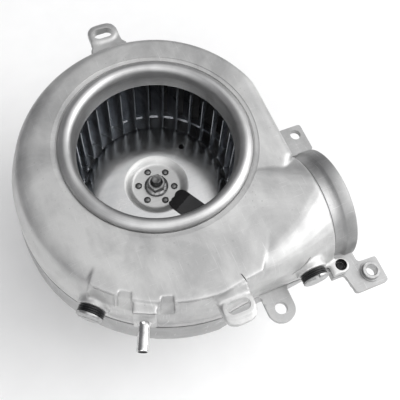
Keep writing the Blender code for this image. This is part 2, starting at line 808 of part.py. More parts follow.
def make_shaft(material, parts):
    profile = [
        (0, -43.4), (2.6, -43.4), (STUD_RADIUS, -43.9), (STUD_RADIUS, -60.3), (SHAFT_RADIUS, -60.3),
        (SHAFT_RADIUS, -106.4), (0, -106.4),
    ]
    turned("motor_shaft", profile, material, parts, 20)


def make_cooling_fan(material, parts, tools):
    fan = turned("cooling_fan", tube_profile(4.3, 26.0, -65.0, -66.2), material, parts, 28, True)
    hub = turned("cooling_hub", tube_profile(4.3, 7.5, -65.0, -70.2), material, tools, 20, True)
    combine(fan, hub, "UNION")
    for index in range(8):
        vane = box(f"vane_{index}", (6.8, -0.6, -70), (25.0, 0.6, -65.6), material, tools, angle=45 * index)
        combine(fan, vane, "UNION")


def spider(name, top, bottom, disc, material, parts, tools):
    """An end shield: a disc with an arm and a pad at each corner screw."""
    shield = rod(name, (0, 0, bottom), (0, 0, top), disc, material, parts, 28)
    reach = SCREW_SPACING * math.sqrt(2)
    for index, angle in enumerate((45, 135)):
        inset = 0.2 + 0.2 * index
        span = ((-reach, -5, bottom + inset), (reach, 5, top - inset))
        arm = box(f"{name}_arm_{index}", *span, material, tools, angle)
        combine(shield, arm, "UNION")
    return shield


def make_front_shield(material, parts, tools):
    bottom = SHIELD_TOP - 5.0
    shield = spider("front_end_shield", SHIELD_TOP, bottom, 16.5, material, parts, tools)
    combine(shield, rod("front_boss", (0, 0, -80.0), (0, 0, -75), 14.0, material, tools, 28), "UNION")
    for index, (x, y) in enumerate(motor_screw_places()):
        pad = rod(f"front_pad_{index}", (x, y, bottom), (x, y, SHIELD_TOP), 6.0, material, tools)
        combine(shield, pad, "UNION")
    pocket = rod("front_pocket", (0, 0, -85), (0, 0, -72.8), BEARING_RADIUS + GAP, material, tools)
    combine(shield, pocket, "DIFFERENCE")
    combine(shield, rod("front_shaft_hole", (0, 0, -80), (0, 0, -70), 5.5, material, tools), "DIFFERENCE")
    for index, (x, y) in enumerate(motor_screw_places()):
        hole = rod(f"front_hole_{index}", (x, y, -80), (x, y, -70), 2.0, material, tools, 10)
        combine(shield, hole, "DIFFERENCE")


def make_rear_shield(material, parts, tools):
    shield = spider("rear_end_shield", REAR_FACE + 4.4, REAR_FACE, 20.0, material, parts, tools)
    boss = rod("rear_boss", (0, 0, REAR_FACE + 2), (0, 0, -99.2), 14.0, material, tools, 28)
    combine(shield, boss, "UNION")
    for index, (x, y) in enumerate(motor_screw_places()):
        pad = rod(f"rear_pad_{index}", (x, y, REAR_FACE), (x, y, CORE_BOTTOM - GAP), 6.0, material, tools)
        combine(shield, pad, "UNION")
    pocket = rod("rear_pocket", (0, 0, -106.8), (0, 0, -95), BEARING_RADIUS + GAP, material, tools)
    combine(shield, pocket, "DIFFERENCE")
    for index, (x, y) in enumerate(motor_screw_places()):
        hole = rod(f"rear_hole_{index}", (x, y, -115), (x, y, -95), 2.0, material, tools, 10)
        recess = rod(f"rear_recess_{index}", (x, y, -115), (x, y, -106.4), 3.9, material, tools, 20)
        combine(shield, hole, "DIFFERENCE")
        combine(shield, recess, "DIFFERENCE")


def make_stator(lamination, copper, parts, tools):
    half = MOTOR_HALF_WIDTH
    corners = ((-half, -half), (half, -half), (half, half), (-half, half))
    outline = rounded_outline(corners, (7, 7, 7, 7))
    core = slab("stator_core", outline, CORE_TOP, CORE_BOTTOM, lamination, parts)
    window = rod("stator_window", (0, 0, -110), (0, 0, -70), WINDOW_RADIUS, lamination, tools, 32)
    bore = rod("stator_bore", (0, 0, -110), (0, 0, -70), POLE_BORE, lamination, tools, 32)
    for index, angle in enumerate((0, 90)):
        pole = box(f"poles_{index}", (-29, -7, -112), (29, 7, -68), lamination, tools, angle=angle)
        combine(window, pole, "DIFFERENCE")
    combine(window, bore, "UNION")
    combine(core, window, "DIFFERENCE")
    for index, (x, y) in enumerate(motor_screw_places()):
        hole = rod(f"core_hole_{index}", (x, y, -110), (x, y, -70), 2.0, lamination, tools, 10)
        combine(core, hole, "DIFFERENCE")
    for index in range(4):
        angle = 90 * index
        body = ((19.6, -11.0, CORE_BOTTOM - 4.1), (23.9, 11.0, CORE_TOP + 4.1))
        window = ((15, -7.4, CORE_BOTTOM - GAP), (28, 7.4, CORE_TOP + GAP))
        coil = box(f"coil_{index + 1}", *body, copper, parts, angle)
        hole = box(f"coil_window_{index}", *window, copper, tools, angle)
        combine(coil, hole, "DIFFERENCE")


def make_motor_screws(zinc, rubber, parts, tools):
    for index, (x, y) in enumerate(motor_screw_places(), start=1):
        place = Matrix.Translation(at(x, y, 0))
        screw = rod(f"motor_screw_{index}", (x, y, -109.7), (x, y, -106.7), 3.5, zinc, parts, 14)
        shank = rod(f"motor_shank_{index}", (x, y, -107.2), (x, y, -62.8), 1.7, zinc, tools, 8)
        socket = rod(f"motor_socket_{index}", (x, y, -111), (x, y, -108.0), 1.5, zinc, tools, 6)
        combine(screw, shank, "UNION")
        combine(screw, socket, "DIFFERENCE")
        grommet = [
            (6.0, -66.3), (6.0, -68.0), (5.0, -68.4), (5.0, -69.6), (6.0, -70.0), (6.0, -71.7), (2.0, -71.7),
            (2.0, -66.3),
        ]
        turned(f"motor_grommet_{index}", grommet, rubber, parts, 14, True, place)


def make_terminals(plastic, brass, parts, tools):
    """A connector block on the side of the stator, with its three blades."""
    block = box("terminal_block", (-43.0, -11.0, -96.0), (-33.3, 11.0, -84.0), plastic, parts)
    for index, y in enumerate((-7.0, 0.0, 7.0)):
        slot = box(f"blade_slot_{index}", (-60, y - 2.4, -93.6), (-36.4, y + 2.4, -86.4), plastic, tools)
        combine(block, slot, "DIFFERENCE")
    for name, y in (("live_terminal", -7.0), ("earth_terminal", 0.0), ("neutral_terminal", 7.0)):
        box(name, (-42.6, y - 0.4, -93.1), (-36.7, y + 0.4, -86.9), brass, parts)


def make_motor(materials, parts, tools):
    make_shaft(materials["steel"], parts)
    make_cooling_fan(materials["fan_plastic"], parts, tools)
    make_front_shield(materials["aluminium"], parts, tools)
    make_rear_shield(materials["aluminium"], parts, tools)
    bearing = (4.3, BEARING_RADIUS)
    turned("front_bearing", tube_profile(*bearing, -73.1, -79.7), materials["steel"], parts, 20, True)
    turned("rear_bearing", tube_profile(*bearing, -99.7, -106.3), materials["steel"], parts, 20, True)
    rotor = tube_profile(4.3, ROTOR_RADIUS, -80.6, -98.4)
    turned("rotor_core", rotor, materials["lamination"], parts, 24, True)
    make_stator(materials["lamination"], materials["copper"], parts, tools)
    make_motor_screws(materials["zinc"], materials["rubber"], parts, tools)
    turned("shaft_seal", tube_profile(4.6, 8.7, -60.6, -62.8), materials["rubber"], parts, 20, True)
    make_terminals(materials["plastic"], materials["brass"], parts, tools)


def gather_moving(parts):
    """One empty on the wheel's axis carries every piece that turns."""
    axis = bpy.data.objects.new("wheel_axis", None)
    parts.objects.link(axis)
    names = ["wheel_blade_strip", "wheel_front_ring", "wheel_back_plate", "wheel_hub", "wheel_nut"]
    names += [f"hub_rivet_{k}" for k in range(1, RIVETS + 1)]
    names += ["balance_strip", "motor_shaft", "rotor_core", "cooling_fan"]
    for name in names:
        bpy.data.objects[name].parent = axis


def main():
    clear_scene()
    parts = new_collection(COLLECTION)
    tools = new_collection("cutters")
    materials = {
        "aluminium": principled("aluminium", (0.72, 0.72, 0.73), 0.35, 1.0),
        "inlet": principled("machined_aluminium", (0.78, 0.78, 0.79), 0.22, 1.0),
        "steel": principled("steel", (0.55, 0.56, 0.58), 0.3, 1.0),
        "zinc": principled("zinc_plate", (0.62, 0.62, 0.62), 0.3, 1.0),
        "rubber": principled("rubber", (0.02, 0.02, 0.02), 0.6, 0.0),
        "gasket": principled("gasket", (0.06, 0.06, 0.06), 0.8, 0.0),
        "foil": principled("black_foil", (0.02, 0.02, 0.022), 0.5, 0.0),
        "lamination": principled("lamination", (0.25, 0.25, 0.26), 0.5, 1.0),
        "copper": principled("copper", (0.6, 0.3, 0.16), 0.35, 1.0),
        "fan_plastic": principled("fan_plastic", (0.05, 0.05, 0.055), 0.5, 0.0),
        "plastic": principled("terminal_plastic", (0.75, 0.73, 0.68), 0.5, 0.0),
        "brass": principled("brass", (0.7, 0.55, 0.25), 0.3, 1.0),
    }
    make_cover(materials["aluminium"], parts, tools)
    make_body(materials["aluminium"], parts, tools)
    make_gasket(materials["gasket"], parts)
    make_inlet_ring(materials["inlet"], parts)
    make_nipple(materials["zinc"], parts)
    make_bush(materials["zinc"], parts)
    for side in plug_places():
        make_plug(side, materials["rubber"], materials["zinc"], parts)
    make_cover_screws(materials["zinc"], parts, tools)
    make_wheel(materials["steel"], materials["zinc"], materials["foil"], parts, tools)
    make_motor(materials, parts, tools)
    gather_moving(parts)


main()
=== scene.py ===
"""Looks of the boiler blower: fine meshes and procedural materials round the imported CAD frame.

Lengths are written in millimetres. Heights are measured from the flat top of the housing, as in
the CAD source, and plan positions from the wheel's axis.
"""

import math

import bmesh
import bpy
from mathutils import Matrix, Vector, noise


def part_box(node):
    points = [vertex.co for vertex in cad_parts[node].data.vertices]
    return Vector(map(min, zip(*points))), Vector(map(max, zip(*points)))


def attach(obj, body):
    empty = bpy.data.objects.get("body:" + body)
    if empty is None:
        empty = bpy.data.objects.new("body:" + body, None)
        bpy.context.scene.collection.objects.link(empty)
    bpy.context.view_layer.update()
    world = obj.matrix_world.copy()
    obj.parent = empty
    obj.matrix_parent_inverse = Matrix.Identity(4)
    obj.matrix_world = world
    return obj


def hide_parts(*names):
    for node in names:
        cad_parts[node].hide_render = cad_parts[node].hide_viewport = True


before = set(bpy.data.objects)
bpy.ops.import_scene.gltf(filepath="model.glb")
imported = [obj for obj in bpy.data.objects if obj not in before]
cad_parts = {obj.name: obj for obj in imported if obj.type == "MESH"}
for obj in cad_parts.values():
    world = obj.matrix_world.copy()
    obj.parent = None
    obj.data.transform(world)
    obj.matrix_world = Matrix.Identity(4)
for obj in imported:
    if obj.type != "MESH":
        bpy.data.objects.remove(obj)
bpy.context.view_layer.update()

MM = 0.001
HOUSING = "housing"
IMPELLER = "impeller"


# ---- Sizes taken from the frame ----

def high(node):
    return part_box(node)[1] / MM


def low(node):
    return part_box(node)[0] / MM


CREST_RISE = 2.9
TOP = high("inlet_ring").z - CREST_RISE


def height_of(value):
    """A world height of the frame as a height below the housing's top."""
    return value - TOP


SPLIT_COVER = height_of(low("volute_cover").z)
SPLIT_BODY = SPLIT_COVER - 1.2
SPLIT = (SPLIT_COVER + SPLIT_BODY) / 2
WHEEL_RADIUS = high("wheel_back_plate").x
BLADE_OUTER = high("wheel_blade_strip").x
BLADE_TOP = height_of(high("wheel_blade_strip").z)
BLADE_BOTTOM = height_of(low("wheel_blade_strip").z)
PLATE_CREST = height_of(high("wheel_back_plate").z)
RING_OUTER = high("inlet_ring").x
RING_CREST = height_of(high("inlet_ring").z)
LIP_Z = height_of(low("inlet_ring").z)
STUD_TOP = height_of(high("motor_shaft").z)
SHAFT_BOTTOM = height_of(low("motor_shaft").z)

# ---- Sizes repeated from the CAD source ----

SCROLL_STEP = 45.0
SCROLL_RADII = (68.0, 69.0, 70.5, 74.5, 79.5, 87.0, 92.0)
FLOOR_Z = -63.0
INNER_FLOOR_Z = -60.0
END_X = 68.0
NEAR_WALL_START = (22.0, -89.0)
OUTLET_Y = -54.0
OUTLET_Z = -30.0
OUTLET_BORE = 27.8
NECK_RADIUS = 29.6
COLLAR_RADIUS = 31.0
COLLAR_START = 74.5
COLLAR_FACE = 81.0
SHOULDER_STEP_ANGLE = 226.0
TIGHT_SHOULDER = 0.5
SOFT_SHOULDER = 1.6
DISH_RADIUS = 54.0
SEAT_RADIUS = 51.2
SEAT_HOLE = 46.6
BLADES = 33
BLADE_PHASE = -1.6
BLADE_INNER = 43.0
SEAT_TOP = -52.0
PLATE_RIM = -55.5
RIVET_CIRCLE = 10.5
RIVET_PHASE = -21.3
SCREW_SPACING = 25.5
OUTLET_SCREW = (69.5, -89.8)
COVER_SCREW_ANGLES = (30.0, 62.0, 98.0)
REAR_SLOT = (-1.0, 82.3)
NEAR_SLOT = (4.9, -95.2)
ROUND_LUG = (30.6, -98.4)
FAR_LUG = (83.6, -8.2)
BUSH = (83.6, -98.3)
PAD_ANGLE = -114.6
NIPPLE_RADIUS = 91.3
NIPPLE_Z = -14.0
LEFT_PLUG_ANGLE = -131.6


# ---- Mesh helpers ----

def at(x, y, z):
    return Vector((x * MM, y * MM, (z + TOP) * MM))


def upright(x, y):
    """A place on the housing's top, with local Z up."""
    return Matrix.Translation(at(x, y, 0))


def sideways(x, y, z, angle):
    """A place with local Z pointing outward at an angle in plan."""
    along = Vector((*polar(1.0, angle), 0))
    return Matrix.Translation(at(x, y, z)) @ along.to_track_quat("Z", "Y").to_matrix().to_4x4()


def polar(radius, angle):
    turn = math.radians(angle)
    return (radius * math.cos(turn), radius * math.sin(turn))


def smooth_step(value, start, end):
    share = min(max((value - start) / (end - start), 0.0), 1.0)
    return share * share * (3 - 2 * share)


def catmull(a, b, c, d, t):
    """A Catmull-Rom curve between b and c."""
    square = (2 * a - 5 * b + 4 * c - d) * t ** 2
    cube = (3 * b - a - 3 * c + d) * t ** 3
    return 0.5 * (2 * b + (c - a) * t + square + cube)


def neighbours(points, index):
    last = len(points) - 1
    return [points[min(max(index + k, 0), last)] for k in (-1, 0, 1, 2)]


def spline(points, per_span):
    """A smooth curve through points of any dimension."""
    found = []
    for index in range(len(points) - 1):
        near = neighbours(points, index)
        for k in range(per_span):
            found.append(tuple(catmull(*values, k / per_span) for values in zip(*near)))
    found.append(tuple(points[-1]))
    return found


def to_object(name, bm):
    bmesh.ops.recalc_face_normals(bm, faces=bm.faces)
    mesh = bpy.data.meshes.new(name)
    bm.to_mesh(mesh)
    bm.free()
    made = bpy.data.objects.new(name, mesh)
    bpy.context.scene.collection.objects.link(made)
    return made


def add_loft(bm, rings):
    loops = [[bm.verts.new(at(*point)) for point in ring] for ring in rings]
    count = len(loops[0])
    for first, second in zip(loops, loops[1:]):
        for i in range(count):
            j = (i + 1) % count
            bm.faces.new((first[i], first[j], second[j], second[i]))
    bm.faces.new(loops[0])
    bm.faces.new(loops[-1])


def add_turned(bm, profile, steps=96, closed=False, place=None):
    """A body of revolution about local Z. An open profile starts and ends on the axis."""
    frame_of = place or upright(0, 0)
    rings = []
    for radius, height in profile:
        if radius < 1e-6:
            rings.append([bm.verts.new(frame_of @ Vector((0, 0, height * MM)))])
            continue
        ring = []
        for k in range(steps):
            x, y = polar(radius, 360 * k / steps)
            ring.append(bm.verts.new(frame_of @ Vector((x * MM, y * MM, height * MM))))
        rings.append(ring)
    pairs = list(zip(rings, rings[1:]))
    if closed:
        pairs.append((rings[-1], rings[0]))
    for first, second in pairs:
        for k in range(steps):
            j = (k + 1) % steps
            a = first[k % len(first)]
            b = first[j % len(first)]
            c = second[j % len(second)]
            d = second[k % len(second)]
            corners = [v for i, v in enumerate((a, b, c, d)) if v not in (a, b, c, d)[:i]]
            bm.faces.new(corners)


def turned(name, profile, steps=96, closed=False, place=None):
    """An object made of one turned profile."""
    bm = bmesh.new()
    add_turned(bm, profile, steps, closed, place)
    return to_object(name, bm)


def add_rod(bm, start, end, radius, steps=32):
    first = at(*start)
    second = at(*end)
    turn = Vector((0, 0, 1)).rotation_difference(second - first).to_matrix().to_4x4()
    place = Matrix.Translation(first) @ turn
    length = (second - first).length / MM
    add_turned(bm, [(0, 0), (radius, 0), (radius, length), (0, length)], steps, place=place)


def add_box(bm, low_corner, high_corner, angle=0.0):
    made = bmesh.ops.create_cube(bm, size=1.0)["verts"]
    size = [(b - a) * MM for a, b in zip(low_corner, high_corner)]
    bmesh.ops.scale(bm, vec=size, verts=made)
    middle = at(*[(a + b) / 2 for a, b in zip(low_corner, high_corner)])
    bmesh.ops.translate(bm, vec=middle, verts=made)
    turn = Matrix.Rotation(math.radians(angle), 3, "Z")
    bmesh.ops.rotate(bm, cent=(0, 0, 0), matrix=turn, verts=made)


def add_prism(bm, outline, top, bottom):
    add_loft(bm, [[(x, y, top) for x, y in outline], [(x, y, bottom) for x, y in outline]])


def rounded_outline(corners, radii, steps=8):
    points = []
    count = len(corners)
    for i in range(count):
        corner = Vector(corners[i])
        before = (Vector(corners[i - 1]) - corner).normalized()
        after = (Vector(corners[(i + 1) % count]) - corner).normalized()
        radius = radii[i]
        if radius == 0:
            points.append(tuple(corner))
            continue
        half = before.angle(after) / 2
        centre = corner + (before + after).normalized() * radius / math.sin(half)
        start = corner + before * radius / math.tan(half) - centre
        end = corner + after * radius / math.tan(half) - centre
        sweep = start.angle_signed(end)
        for k in range(steps + 1):
            points.append(tuple(centre + Matrix.Rotation(-sweep * k / steps, 2) @ start))
    return points


def capsule_outline(x, y, length, width, steps=10):
    radius = width / 2
    reach = length / 2 - radius
    points = []
    for side, start in ((1, -90), (-1, 90)):
        for k in range(2 * steps + 1):
            px, py = polar(radius, start + 90 * k / steps)
            points.append((x + side * reach + px, y + py))
    return points


def baked(target):
    """Replaces the mesh with the result of its modifiers."""
    bpy.context.view_layer.update()
    graph = bpy.context.evaluated_depsgraph_get()
    mesh = bpy.data.meshes.new_from_object(target.evaluated_get(graph))
    target.modifiers.clear()
    old = target.data
    target.data = mesh
    bpy.data.meshes.remove(old)


def boolean(target, tool, operation):
    modifier = target.modifiers.new("boolean", "BOOLEAN")
    modifier.operation = operation
    modifier.object = tool
    modifier.solver = "MANIFOLD"
    baked(target)
    bpy.data.objects.remove(tool, do_unlink=True)


def cut(target, build):
    """Subtracts what the function builds."""
    bm = bmesh.new()
    build(bm)
    boolean(target, to_object("cutter", bm), "DIFFERENCE")


def cast(target, voxel, smoothing):
    """One skin over everything in the mesh, with the soft edges of a casting."""
    remesh = target.modifiers.new("skin", "REMESH")
    remesh.mode = "VOXEL"
    remesh.voxel_size = voxel * MM
    remesh.adaptivity = 0.0
    soften = target.modifiers.new("soften", "SMOOTH")
    soften.factor = 0.5
    soften.iterations = smoothing
    baked(target)


def piece(target, material, body, slot, *nodes, angle=40.0):
    """Finishes a new piece: its material, the body it rides on and the CAD nodes it stands for."""
    target.data.materials.clear()
    target.data.materials.append(material)
    target.data.shade_smooth()
    target.data.set_sharp_from_angle(angle=math.radians(angle))
    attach(target, body)
    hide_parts(*nodes)


def paint(target, material, chosen):
    """A second material on the faces that the test picks."""
    mesh = target.data
    mesh.materials.append(material)
    for polygon in mesh.polygons:
        if chosen(polygon):
            polygon.material_index = len(mesh.materials) - 1


# ---- Housing outline ----

def scroll_radius(angle):
    index = min(int(angle // SCROLL_STEP), len(SCROLL_RADII) - 2)
    return catmull(*neighbours(SCROLL_RADII, index), angle / SCROLL_STEP - index)


def shoulder(angle):
    return TIGHT_SHOULDER + (SOFT_SHOULDER - TIGHT_SHOULDER) * smooth_step(angle, 60, 150)


def fine_angles():
    angles = [3 * k for k in range(91)]
    angles += [SHOULDER_STEP_ANGLE - 0.3, SHOULDER_STEP_ANGLE + 0.3]
    return sorted(angles)


def outer_ring(height, inset, soften, near_inset=None):
    """Plan outline of the scroll at one height; the near side may have an inset of its own."""
    near = inset if near_inset is None else near_inset
    points = []
    for angle in fine_angles():
        inward = inset * (shoulder(angle) if soften else 1.0)
        if angle > SHOULDER_STEP_ANGLE:
            inward = near
        x, y = polar(scroll_radius(angle) - inward, angle)
        points.append((min(x, END_X - inset), y, height))
    points.append((NEAR_WALL_START[0] / 2, NEAR_WALL_START[1] - 1.2 + near, height))
    points.append((NEAR_WALL_START[0], NEAR_WALL_START[1] + near, height))
    points.append((END_X - inset, -31.0, height))
    return points


def duct_ring(x, half_width, half_height, corner, steps=10):
    points = []
    for quarter in range(4):
        side_y = (1, -1, -1, 1)[quarter]
        side_z = (1, 1, -1, -1)[quarter]
        for k in range(steps + 1):
            turn = math.radians(90 * quarter + 90 * k / steps)
            y = side_y * (half_width - corner) + corner * math.cos(turn)
            z = side_z * (half_height - corner) + corner * math.sin(turn)
            points.append((x, OUTLET_Y + y, OUTLET_Z + z))
    return points


OUTER_DUCT = (
    (12.0, 32.0, 28.2, 9.0), (24.0, 33.2, 29.4, 10.0), (38.0, 33.4, 30.3, 15.0), (50.0, 33.2, 31.0, 21.0),
    (59.0, 32.6, 31.5, 27.5), (65.4, 31.9, 31.9, 31.5), (66.6, 31.5, 31.5, 31.1), (67.4, 30.7, 30.7, 30.3),
    (END_X, NECK_RADIUS, NECK_RADIUS, NECK_RADIUS - 0.4),
)
INNER_DUCT = (
    (4.0, 28.0, 26.0, 8.0), (20.0, 29.8, 26.8, 10.0), (42.0, 29.8, 27.2, 17.0), (56.0, 28.8, 27.8, 24.0),
    (64.0, OUTLET_BORE, OUTLET_BORE, OUTLET_BORE - 0.3),
    (COLLAR_FACE + 5, OUTLET_BORE, OUTLET_BORE, OUTLET_BORE - 0.3),
)


def cavity_ring(height, inset, soften):
    points = []
    tip_radius = 62.0 - 0.2 * inset
    for k in range(6):
        share = k / 6
        radius = tip_radius + (scroll_radius(0) - inset - tip_radius) * share
        points.append((*polar(radius, -20.0 * (1 - share)), height))
    for angle in fine_angles():
        share = shoulder(angle) if soften and angle <= SHOULDER_STEP_ANGLE else 1.0
        points.append((*polar(scroll_radius(angle) - inset * share, angle), height))
    points.append((NEAR_WALL_START[0] / 2, NEAR_WALL_START[1] - 1.2 + inset, height))
    points.append((NEAR_WALL_START[0], NEAR_WALL_START[1] + inset + 0.6, height))
    points.append((47.0, -50.0, height))
    return points


CAVITY = (
    (-3.0, 10.5, True), (-6.0, 6.2, True), (SPLIT, 3.4, False), (-46.0, 2.8, False), (-54.0, 4.4, False),
    (INNER_FLOOR_Z, 11.5, False),
)


def screw_places():
    return [polar(scroll_radius(angle) + 4.7, angle) for angle in COVER_SCREW_ANGLES] + [OUTLET_SCREW]


def motor_screw_places():
    return [(x * SCREW_SPACING, y * SCREW_SPACING) for x in (-1, 1) for y in (-1, 1)]


def plug_places():
    """Each plug's x, y, z and angle in plan."""
    left = polar(88.6, LEFT_PLUG_ANGLE)
    return {"left_plug": (*left, -19.0, LEFT_PLUG_ANGLE), "right_plug": (50.6, -89.6, -19.5, -90.0)}


# ---- Materials ----

class Graph:
    """A short way to write a node material."""

    def __init__(self, name, roughness=0.5, metallic=0.0):
        self.material = bpy.data.materials.new(name)
        self.material.use_nodes = True
        self.nodes = self.material.node_tree.nodes
        self.links = self.material.node_tree.links
        self.shader = self.nodes["Principled BSDF"]
        self.shader.inputs["Roughness"].default_value = roughness
        self.shader.inputs["Metallic"].default_value = metallic
        self.place = self.nodes.new("ShaderNodeTexCoord").outputs["Object"]

    def add(self, kind, inputs=None, **settings):
        node = self.nodes.new("ShaderNode" + kind)
        for key, value in settings.items():
            setattr(node, key, value)
        for key, value in (inputs or {}).items():
            if isinstance(value, bpy.types.NodeSocket):
                self.links.new(value, node.inputs[key])
            else:
                node.inputs[key].default_value = value
        return node

    def math(self, operation, a, b=0.0):
        return self.add("Math", {0: a, 1: b}, operation=operation).outputs[0]

    def plus(self, a, b):
        return self.math("ADD", a, b)

    def minus(self, a, b):
        return self.math("SUBTRACT", a, b)

    def times(self, a, b):
        return self.math("MULTIPLY", a, b)

    def sum_of(self, a, a_share, b, b_share):
        return self.plus(self.times(a, a_share), self.times(b, b_share))

    def stretched(self, scale, turn):
        inputs = {"Vector": self.place, "Scale": scale, "Rotation": turn}
        return self.add("Mapping", inputs).outputs["Vector"]

    def noise(self, scale, detail=4.0, rough=0.55, source=None, distortion=0.0):
        inputs = {"Vector": source or self.place, "Scale": scale, "Detail": detail, "Roughness": rough}
        inputs["Distortion"] = distortion
        return self.add("TexNoise", inputs).outputs["Fac"]

    def cells(self, scale):
        return self.add("TexVoronoi", {"Vector": self.place, "Scale": scale}).outputs["Distance"]

    def span(self, value, from_low, from_high, to_low, to_high):
        inputs = {"Value": value, 1: from_low, 2: from_high, 3: to_low, 4: to_high}
        return self.add("MapRange", inputs, clamp=True).outputs["Result"]

    def ramp(self, value, stops):
        node = self.add("ValToRGB", {"Fac": value})
        elements = node.color_ramp.elements
        while len(elements) < len(stops):
            elements.new(0.5)
        for element, (position, colour) in zip(elements, stops):
            element.position = position
            element.color = (*colour, 1.0)
        return node.outputs["Color"]

    def mix(self, factor, a, b):
        node = self.add("Mix", {"Factor": factor}, data_type="RGBA")
        for socket, value in ((node.inputs[6], a), (node.inputs[7], b)):
            if isinstance(value, bpy.types.NodeSocket):
                self.links.new(value, socket)
            else:
                socket.default_value = (*value, 1.0)
        return node.outputs[2]

    def lathe_lines(self, across, along):
        """Coordinates in which noise makes fine marks round the wheel's axis."""
        x, y, z = self.add("SeparateXYZ", {"Vector": self.place}).outputs
        radius = self.math("SQRT", self.plus(self.times(x, x), self.times(y, y)))
        turn = self.math("ARCTAN2", y, x)
        inputs = {
            "X": self.times(radius, across),
            "Y": self.times(self.math("SINE", turn), along),
            "Z": self.plus(self.times(z, across), self.math("COSINE", turn)),
        }
        return self.add("CombineXYZ", inputs).outputs[0]

    def finish(self, colour, roughness=None, height=None, bump=0.2, depth=0.0002):
        self.links.new(colour, self.shader.inputs["Base Color"])
        if roughness is not None:
            self.links.new(roughness, self.shader.inputs["Roughness"])
        if height is not None:
            node = self.add("Bump", {"Height": height, "Strength": bump, "Distance": depth})
            self.links.new(node.outputs["Normal"], self.shader.inputs["Normal"])
        return self.material


def scratches(g, scale, turn, low_value, high_value):
    """Thin straight marks in one direction."""
    lines = g.noise(1.0, 2.0, 0.5, g.stretched(scale, turn))
    return g.span(lines, low_value, high_value, 0.0, 1.0)


def cast_metal(name, light, dark, roughness, bump=0.25):
    """Die-cast aluminium: soft blotches, flow marks, fine grain, pits and handling scratches."""
    g = Graph(name, roughness, 1.0)
    cloud = g.noise(26.0, 5.0, 0.62, distortion=0.6)
    stain = g.noise(90.0, 4.0, 0.6, g.stretched((1.0, 0.45, 1.0), (0, 0, 0.7)))
    grain = g.noise(1600.0, 3.0, 0.6)
    fine = g.noise(5200.0, 2.0, 0.5)
    pits = g.span(g.cells(420.0), 0.0, 0.16, 1.0, 0.0)
    rare = g.span(g.noise(60.0, 2.0), 0.56, 0.66, 0.0, 1.0)
    pits = g.times(pits, rare)
    marks = g.plus(scratches(g, (90.0, 3200.0, 90.0), (0, 0, 0.5), 0.66, 0.72),
                   scratches(g, (2600.0, 70.0, 70.0), (0, 0, -0.35), 0.67, 0.73))
    tone = g.ramp(g.sum_of(cloud, 0.7, stain, 0.3),
                  [(0.38, dark), (0.58, light)])
    tone = g.mix(g.times(pits, 0.75), tone, (0.12, 0.12, 0.12))
    tone = g.mix(g.times(marks, 0.35), tone, (0.86, 0.86, 0.86))
    rough = g.span(g.sum_of(cloud, 0.5, grain, 0.5),
                   0.35, 0.65, roughness - 0.07, roughness + 0.09)
    relief = g.sum_of(grain, 0.55, fine, 0.25)
    relief = g.plus(relief, g.times(cloud, 1.2))
    relief = g.minus(relief, g.times(pits, 1.6))
    relief = g.minus(relief, g.times(marks, 0.3))
    return g.finish(tone, rough, relief, bump, 0.00025)


def turned_metal(name, light, dark, roughness, speckle=0.5, bump=0.12):
    """Lathe-turned metal: fine rings round the axis, small dents and dull speckles."""
    g = Graph(name, roughness, 1.0)
    lines = g.noise(1.0, 3.0, 0.6, g.lathe_lines(9000.0, 1.6))
    broad = g.noise(1.0, 3.0, 0.5, g.lathe_lines(500.0, 2.4))
    cloud = g.noise(45.0, 4.0, 0.6)
    spots = g.span(g.cells(700.0), 0.0, 0.2, 1.0, 0.0)
    spots = g.times(spots, g.span(cloud, 0.5, 0.62, 0.0, speckle))
    tone = g.ramp(g.sum_of(lines, 0.45, cloud, 0.55),
                  [(0.36, dark), (0.6, light)])
    tone = g.mix(spots, tone, (0.2, 0.2, 0.2))
    rough = g.span(g.sum_of(lines, 0.4, broad, 0.6),
                   0.35, 0.65, roughness - 0.06, roughness + 0.08)
    relief = g.sum_of(lines, 0.5, cloud, 0.9)
    relief = g.minus(relief, spots)
    return g.finish(tone, rough, relief, bump, 0.00012)


def sheet_metal(name, light, dark, roughness, bump=0.1):
    """Rolled sheet: streaks along one direction, a thin film of dust and a few bright scratches."""
    g = Graph(name, roughness, 1.0)
    streaks = g.noise(1.0, 4.0, 0.6, g.stretched((40.0, 900.0, 40.0), (0, 0, 0.9)))
    cloud = g.noise(38.0, 5.0, 0.6, distortion=0.8)
    grain = g.noise(2400.0, 3.0, 0.6)
    marks = scratches(g, (2600.0, 60.0, 60.0), (0, 0, 0.85), 0.69, 0.74)
    tone = g.ramp(g.sum_of(streaks, 0.35, cloud, 0.65),
                  [(0.35, dark), (0.63, light)])
    tone = g.mix(g.times(marks, 0.6), tone, (0.9, 0.9, 0.9))
    rough = g.span(g.sum_of(cloud, 0.6, grain, 0.4),
                   0.35, 0.65, roughness - 0.06, roughness + 0.1)
    relief = g.sum_of(streaks, 0.4, grain, 0.4)
    relief = g.minus(relief, g.times(marks, 0.6))
    return g.finish(tone, rough, relief, bump, 0.0001)


def plated(name, light, dark, roughness, bump=0.1):
    """Zinc or nickel plate: a faint mottle and small wear marks."""
    g = Graph(name, roughness, 1.0)
    mottle = g.noise(420.0, 5.0, 0.65)
    grain = g.noise(3600.0, 3.0, 0.6)
    tone = g.ramp(mottle, [(0.36, dark), (0.62, light)])
    rough = g.span(g.sum_of(mottle, 0.6, grain, 0.4),
                   0.35, 0.65, roughness - 0.06, roughness + 0.1)
    relief = g.sum_of(mottle, 0.7, grain, 0.3)
    return g.finish(tone, rough, relief, bump, 0.0001)


